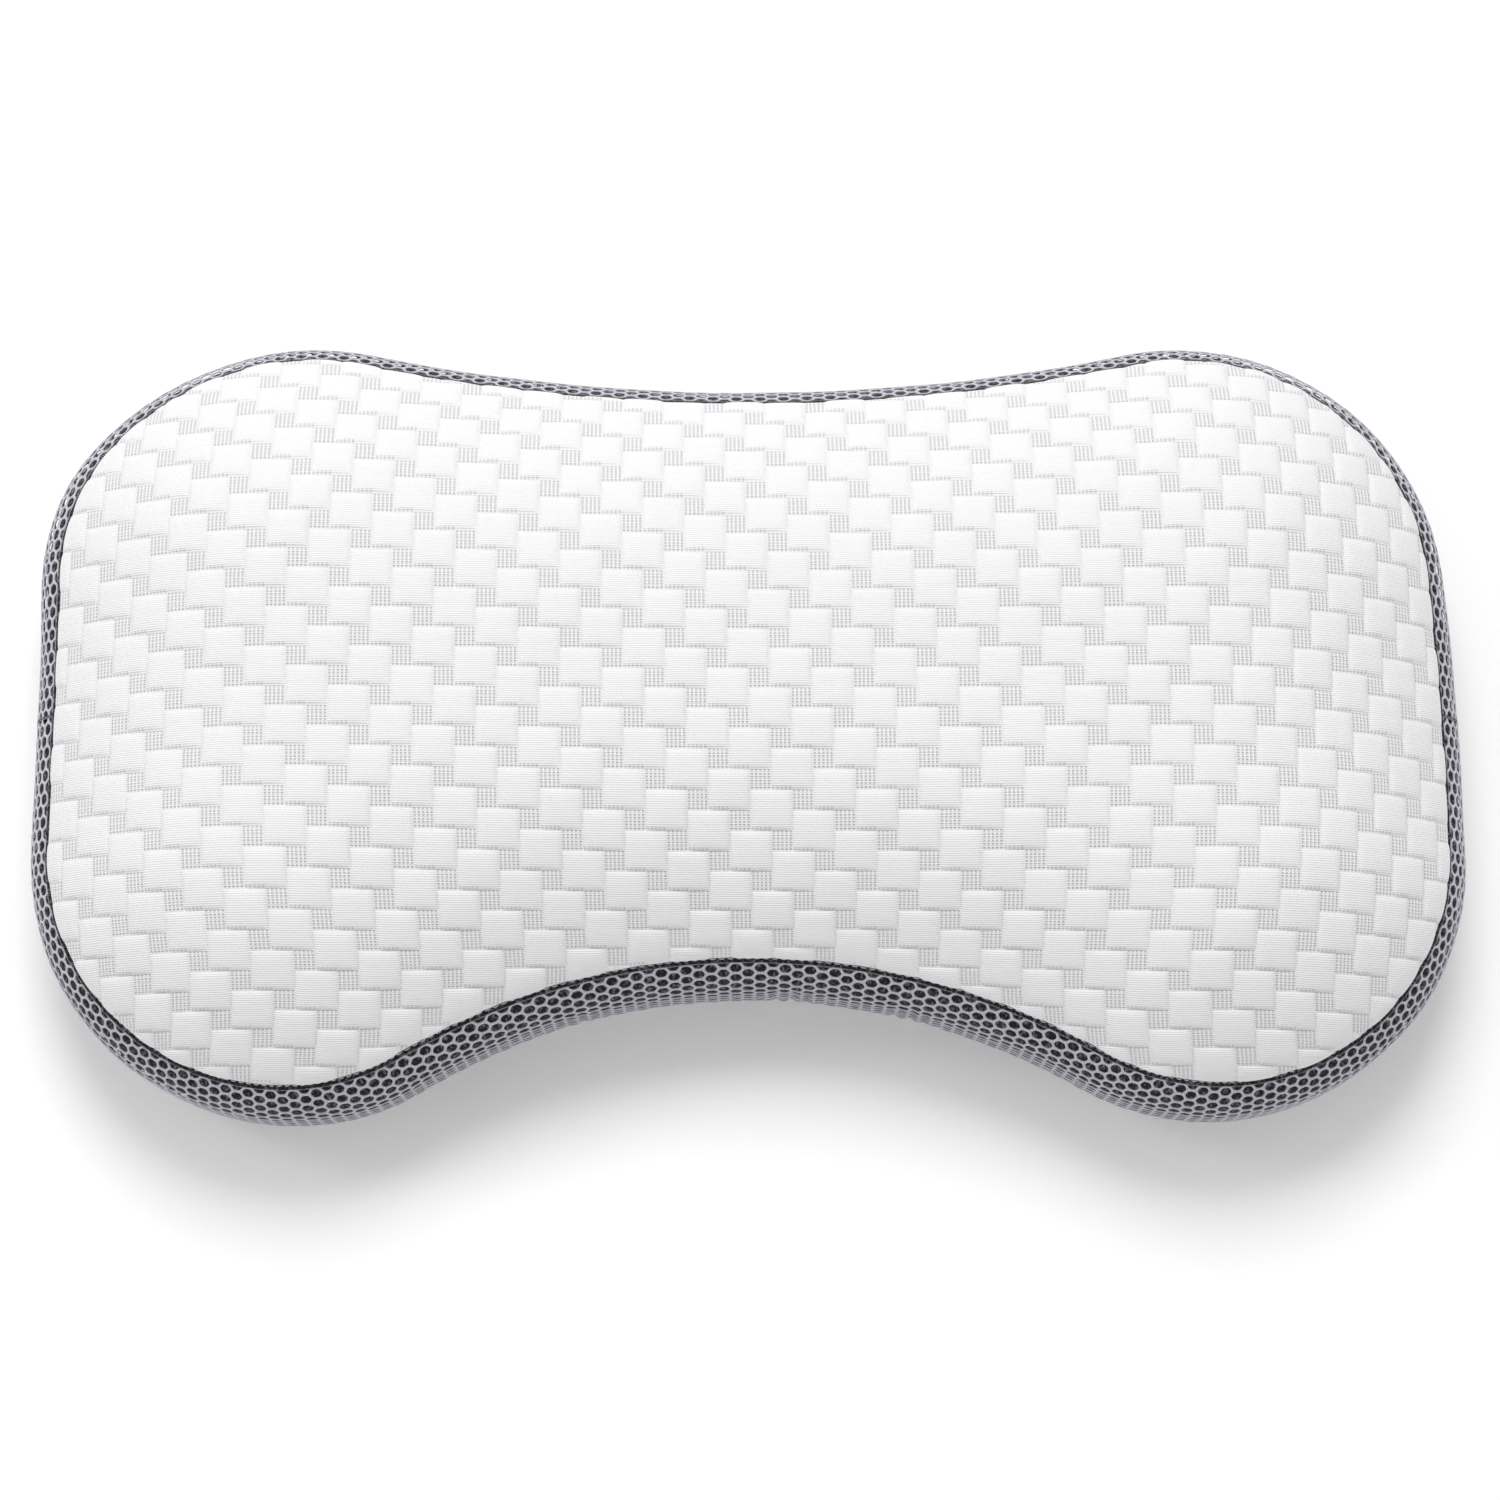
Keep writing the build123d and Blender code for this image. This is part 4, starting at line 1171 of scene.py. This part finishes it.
def make_coil(shape, name, middle, zipper, side, material):
    """Nylon coil: a helix pressed flat, with one turn for each tooth and its heads towards the chain."""
    turns = int(2 * zipper.chain / TOOTH_PITCH)
    steps = 12
    turn = np.arange(turns * steps + 1) / steps
    head, far = 0.45 * MM, CHAIN_GAP / 2 + COIL_WIDTH - 0.35 * MM
    wave = np.cos(TURN * turn)
    along = middle - zipper.chain + (turn + 0.25 * side) * TOOTH_PITCH + 0.2 * TOOTH_PITCH * np.sin(2 * TURN * turn)
    up = zipper.up + side * ((head + far) / 2 - (far - head) / 2 * np.sign(wave) * np.abs(wave) ** 0.6)
    depth = 0.5 * MM - 0.55 * MM * np.sin(TURN * turn)
    angle = np.arange(6) / 6 * TURN
    path = np.column_stack([along, up, depth])
    ahead = np.gradient(path, axis=0)
    ahead /= np.linalg.norm(ahead, axis=1, keepdims=True)
    sideways = np.cross(ahead, [1.0, 0.0, 0.0])
    sideways /= np.linalg.norm(sideways, axis=1, keepdims=True)
    third = np.cross(ahead, sideways)
    ring = sideways[:, None] * np.cos(angle)[None, :, None] + third[:, None] * np.sin(angle)[None, :, None]
    local = path[:, None] + 0.33 * MM * ring
    points = wall_points(shape, local[..., 0], local[..., 1], local[..., 2])
    rows = len(path)
    faces = grid_faces(rows, 6, closed_columns=True)
    faces += [list(range(6)), list(range((rows - 1) * 6, rows * 6))]
    return face_outwards(make_object(name, points, faces, material))


class PILLOW_OT_label(PillowOperator, bpy.types.Operator):
    """Blank satin care label, sewn in at the bottom seam"""

    bl_idname = "pillow.label"
    bl_label = "Care label"

    def execute(self, context):
        scene = context.scene
        shape = Shape(scene.pillow_sizes)
        low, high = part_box("care_label")
        centre = shape.locate(np.array([(low.x + high.x) / 2]), np.array([(low.y + high.y) / 2]))[0][0]
        along = centre + np.linspace(-17, 17, 24) * MM
        up = np.linspace(shape.seam_down + MM, 12 * MM, 20)
        share = (up - up[0]) / (up[-1] - up[0])
        lift = -0.45 * MM - 1.1 * MM * share**2
        up = np.concatenate([up, up[::-1]])
        depth = np.concatenate([lift, lift[::-1] + 0.35 * MM])
        piece = sweep(shape, "label", along, up, depth, satin(scene.pillow_colours))
        finish_piece(piece, "pillow", "label_satin", "care_label")
        return {"FINISHED"}


def satin(colours):
    """Polyester satin ribbon: smooth floats 0.5 mm apart, which gleam across the weave, with painted shade a little
    darker between the floats.
    """
    material, tree, shader = new_material(
        "polyester_satin", Roughness=0.38, Sheen_Weight=0.3, Anisotropic=0.5
    )
    uv = add(tree, "ShaderNodeUVMap", uv_map="cloth").outputs[0]
    floats = add(tree, "ShaderNodeTexWave", [(uv, "Vector")], Scale=0.314 / (0.5 * MM), Distortion=1.0)
    bump = add(tree, "ShaderNodeBump", [(floats.outputs[1], "Height")], Strength=0.25, Distance=0.05 * MM)
    colour = np.array(colours.label)
    # Painted shade: the colour is a little darker where the float relief is low.
    mix = add(
        tree, "ShaderNodeMix", [(floats.outputs[1], 0)], data_type="RGBA", in_6=rgba(colour * 0.93), in_7=rgba(colour)
    )
    tree.links.new(mix.outputs[2], shader.inputs["Base Color"])
    tree.links.new(bump.outputs[0], shader.inputs["Normal"])
    return material


ZIP_ROOM = 5 * MM
LINER = 1 * MM
LAYER_GAP = 0.3 * MM
LINER_SEAM = 34 * MM
INSERT_LOW, INSERT_HIGH = 38 * MM, 56 * MM
FLAT_ROWS = 6
UPRIGHT = slice(FLAT_ROWS, FLAT_ROWS + 17)  # the rounding and shoulder rows of an inner profile


def inner_profile(shape, side, floor, crown, drop):
    """Half section of a body inside the cover, from the floor's middle round to the crown's.

    A quarter arc at the hem, an upright wall, a shoulder arc and the same power curve as the dome.
    """
    sizes = shape.sizes
    hem = sizes.hem - side
    seam = np.array([sizes.seam_inset + side, sizes.seam_height - drop])
    rise, run = seam[1] - sizes.wall_top, sizes.seam_inset
    radius = (rise**2 + run**2) / (2 * run)
    flat = [(f, floor) for f in np.linspace(100, 34, FLAT_ROWS) * MM]
    turn = np.linspace(np.pi / 2, 0, 9)
    rounding = list(zip(side + hem * (1 - np.cos(turn)), floor + hem * (1 - np.sin(turn))))
    lean = np.linspace(0, np.arcsin(rise / radius), 8)
    shoulder = list(zip(side + radius * (1 - np.cos(lean)), sizes.wall_top + radius * np.sin(lean)))
    share = np.linspace(0, 1, 16)[1:]
    reach = 100 * MM - seam[0]
    dome = list(zip(seam[0] + reach * share, seam[1] + (crown - seam[1]) * (1 - (1 - share) ** DOME_POWER)))
    return np.array(flat + rounding + shoulder + dome)


def between(profile, low, high):
    """Part of a profile between two heights, closed with level faces to the middle."""
    inset, height = profile.T
    wall = np.arange(len(profile)) >= FLAT_ROWS
    middle = [(f, low) for f in np.linspace(100, 34, 5) * MM]
    crown = [(f, high) for f in np.linspace(34, 100, 5) * MM]
    kept = profile[(height > low + 0.5 * MM) & (height < high - 0.5 * MM) & wall]
    first = np.interp(low, height[UPRIGHT], inset[UPRIGHT])
    last = np.interp(high, height[UPRIGHT], inset[UPRIGHT])
    return middle + [(first, low)] + kept.tolist() + [(last, high)] + crown


class PILLOW_OT_filling(PillowOperator, bpy.types.Operator):
    """Inner bag in two halves, its thread, and the three foam layers"""

    bl_idname = "pillow.filling"
    bl_label = "Inner bag and foam"

    def execute(self, context):
        scene = context.scene
        shape = Shape(scene.pillow_sizes)
        sizes = shape.sizes
        floor = 1.5 * MM
        crown = sizes.height - 3.3 * MM
        knit = yarn_cloth("jersey_liner", (0.86, 0.86, 0.87), 0.8 * MM)
        foam = memory_foam(scene.pillow_colours)
        outer = inner_profile(shape, ZIP_ROOM, floor, crown, 6 * MM)
        inner = inner_profile(shape, ZIP_ROOM + LINER, floor + LINER, crown - LINER, 7 * MM)
        for word, keep_high in (("top", True), ("bottom", False)):
            halves = []
            for profile in (outer, inner):
                inset, height = profile.T
                on = (height > LINER_SEAM + MM) if keep_high else (height < LINER_SEAM - MM)
                edge = LINER_SEAM + (0.8 if keep_high else -0.8) * MM
                half = profile[on].tolist()
                point = [(float(np.interp(edge, height[UPRIGHT], inset[UPRIGHT])), edge)]
                halves.append(point + half if keep_high else half + point)
            rows = halves[0][::-1] + halves[1] if keep_high else halves[0] + halves[1][::-1]
            covers = np.concatenate([np.full(len(halves[0]), 5.0), np.full(len(halves[1]), 6.0)]) * MM
            piece = closed_body(shape, f"liner_{word}_knit", rows, knit, covers[:, None])
            finish_piece(piece, "pillow", "liner_knit", f"liner_{word}")
        count = round(shape.round / (4 * MM))
        along = np.arange(count) * shape.round / count
        white = bpy.data.materials["white_polyester_thread"]
        piece = stitch_row(
            shape, "liner_stitches", along, LINER_SEAM - sizes.hem, 5.5 * MM, white, 0.9 * MM, 3.4 * MM
        )
        finish_piece(piece, "pillow", "white_thread", "liner_seam_thread")
        block = inner_profile(shape, ZIP_ROOM + 1.3 * MM, floor + 1.3 * MM, crown - 1.3 * MM, 7.3 * MM)
        high = block[:, 1] > INSERT_HIGH + 0.5 * MM
        edge = float(np.interp(INSERT_HIGH, block[UPRIGHT, 1], block[UPRIGHT, 0]))
        low = block[:, 1] < INSERT_LOW - 0.5 * MM
        base_edge = float(np.interp(INSERT_LOW, block[UPRIGHT, 1], block[UPRIGHT, 0]))
        layers = {
            "foam_base": block[low].tolist()
            + [(base_edge, INSERT_LOW)]
            + [(f, INSERT_LOW) for f in np.linspace(34, 100, 5) * MM],
            "foam_insert": between(block, INSERT_LOW, INSERT_HIGH),
            "foam_top": [(f, INSERT_HIGH) for f in np.linspace(100, 34, 5) * MM]
            + [(edge, INSERT_HIGH)]
            + block[high].tolist(),
        }
        for node, rows in layers.items():
            piece = closed_body(shape, f"{node}_block", rows, foam, 7 * MM)
            finish_piece(piece, "pillow", "memory_foam", node)
        return {"FINISHED"}


class PILLOW_PT_panel(bpy.types.Panel):
    """Lists the pillow's operators, sizes and colours"""

    bl_label = "Contoured neck pillow"
    bl_space_type = "VIEW_3D"
    bl_region_type = "UI"
    bl_category = "Pillow"

    def draw(self, context):
        for operator in OPERATORS:
            self.layout.operator(operator.bl_idname)
        for group in (context.scene.pillow_sizes, context.scene.pillow_colours):
            column = self.layout.column()
            for name in group.bl_rna.properties.keys():
                if name not in ("rna_type", "name"):
                    column.prop(group, name)


OPERATORS = (
    PILLOW_OT_stage,
    PILLOW_OT_top,
    PILLOW_OT_bottom,
    PILLOW_OT_band,
    PILLOW_OT_threads,
    PILLOW_OT_zip,
    PILLOW_OT_label,
    PILLOW_OT_filling,
)
CLASSES = (PillowSizes, PillowColours, *OPERATORS, PILLOW_PT_panel)


def register():
    for cls in CLASSES:
        bpy.utils.register_class(cls)
    bpy.types.Scene.pillow_sizes = PointerProperty(type=PillowSizes)
    bpy.types.Scene.pillow_colours = PointerProperty(type=PillowColours)


def unregister():
    del bpy.types.Scene.pillow_colours
    del bpy.types.Scene.pillow_sizes
    for cls in reversed(CLASSES):
        bpy.utils.unregister_class(cls)


def main():
    """Build every piece."""
    register()
    for operator in OPERATORS:
        getattr(bpy.ops.pillow, operator.bl_idname.split(".")[1])()


if __name__ == "__main__":
    main()
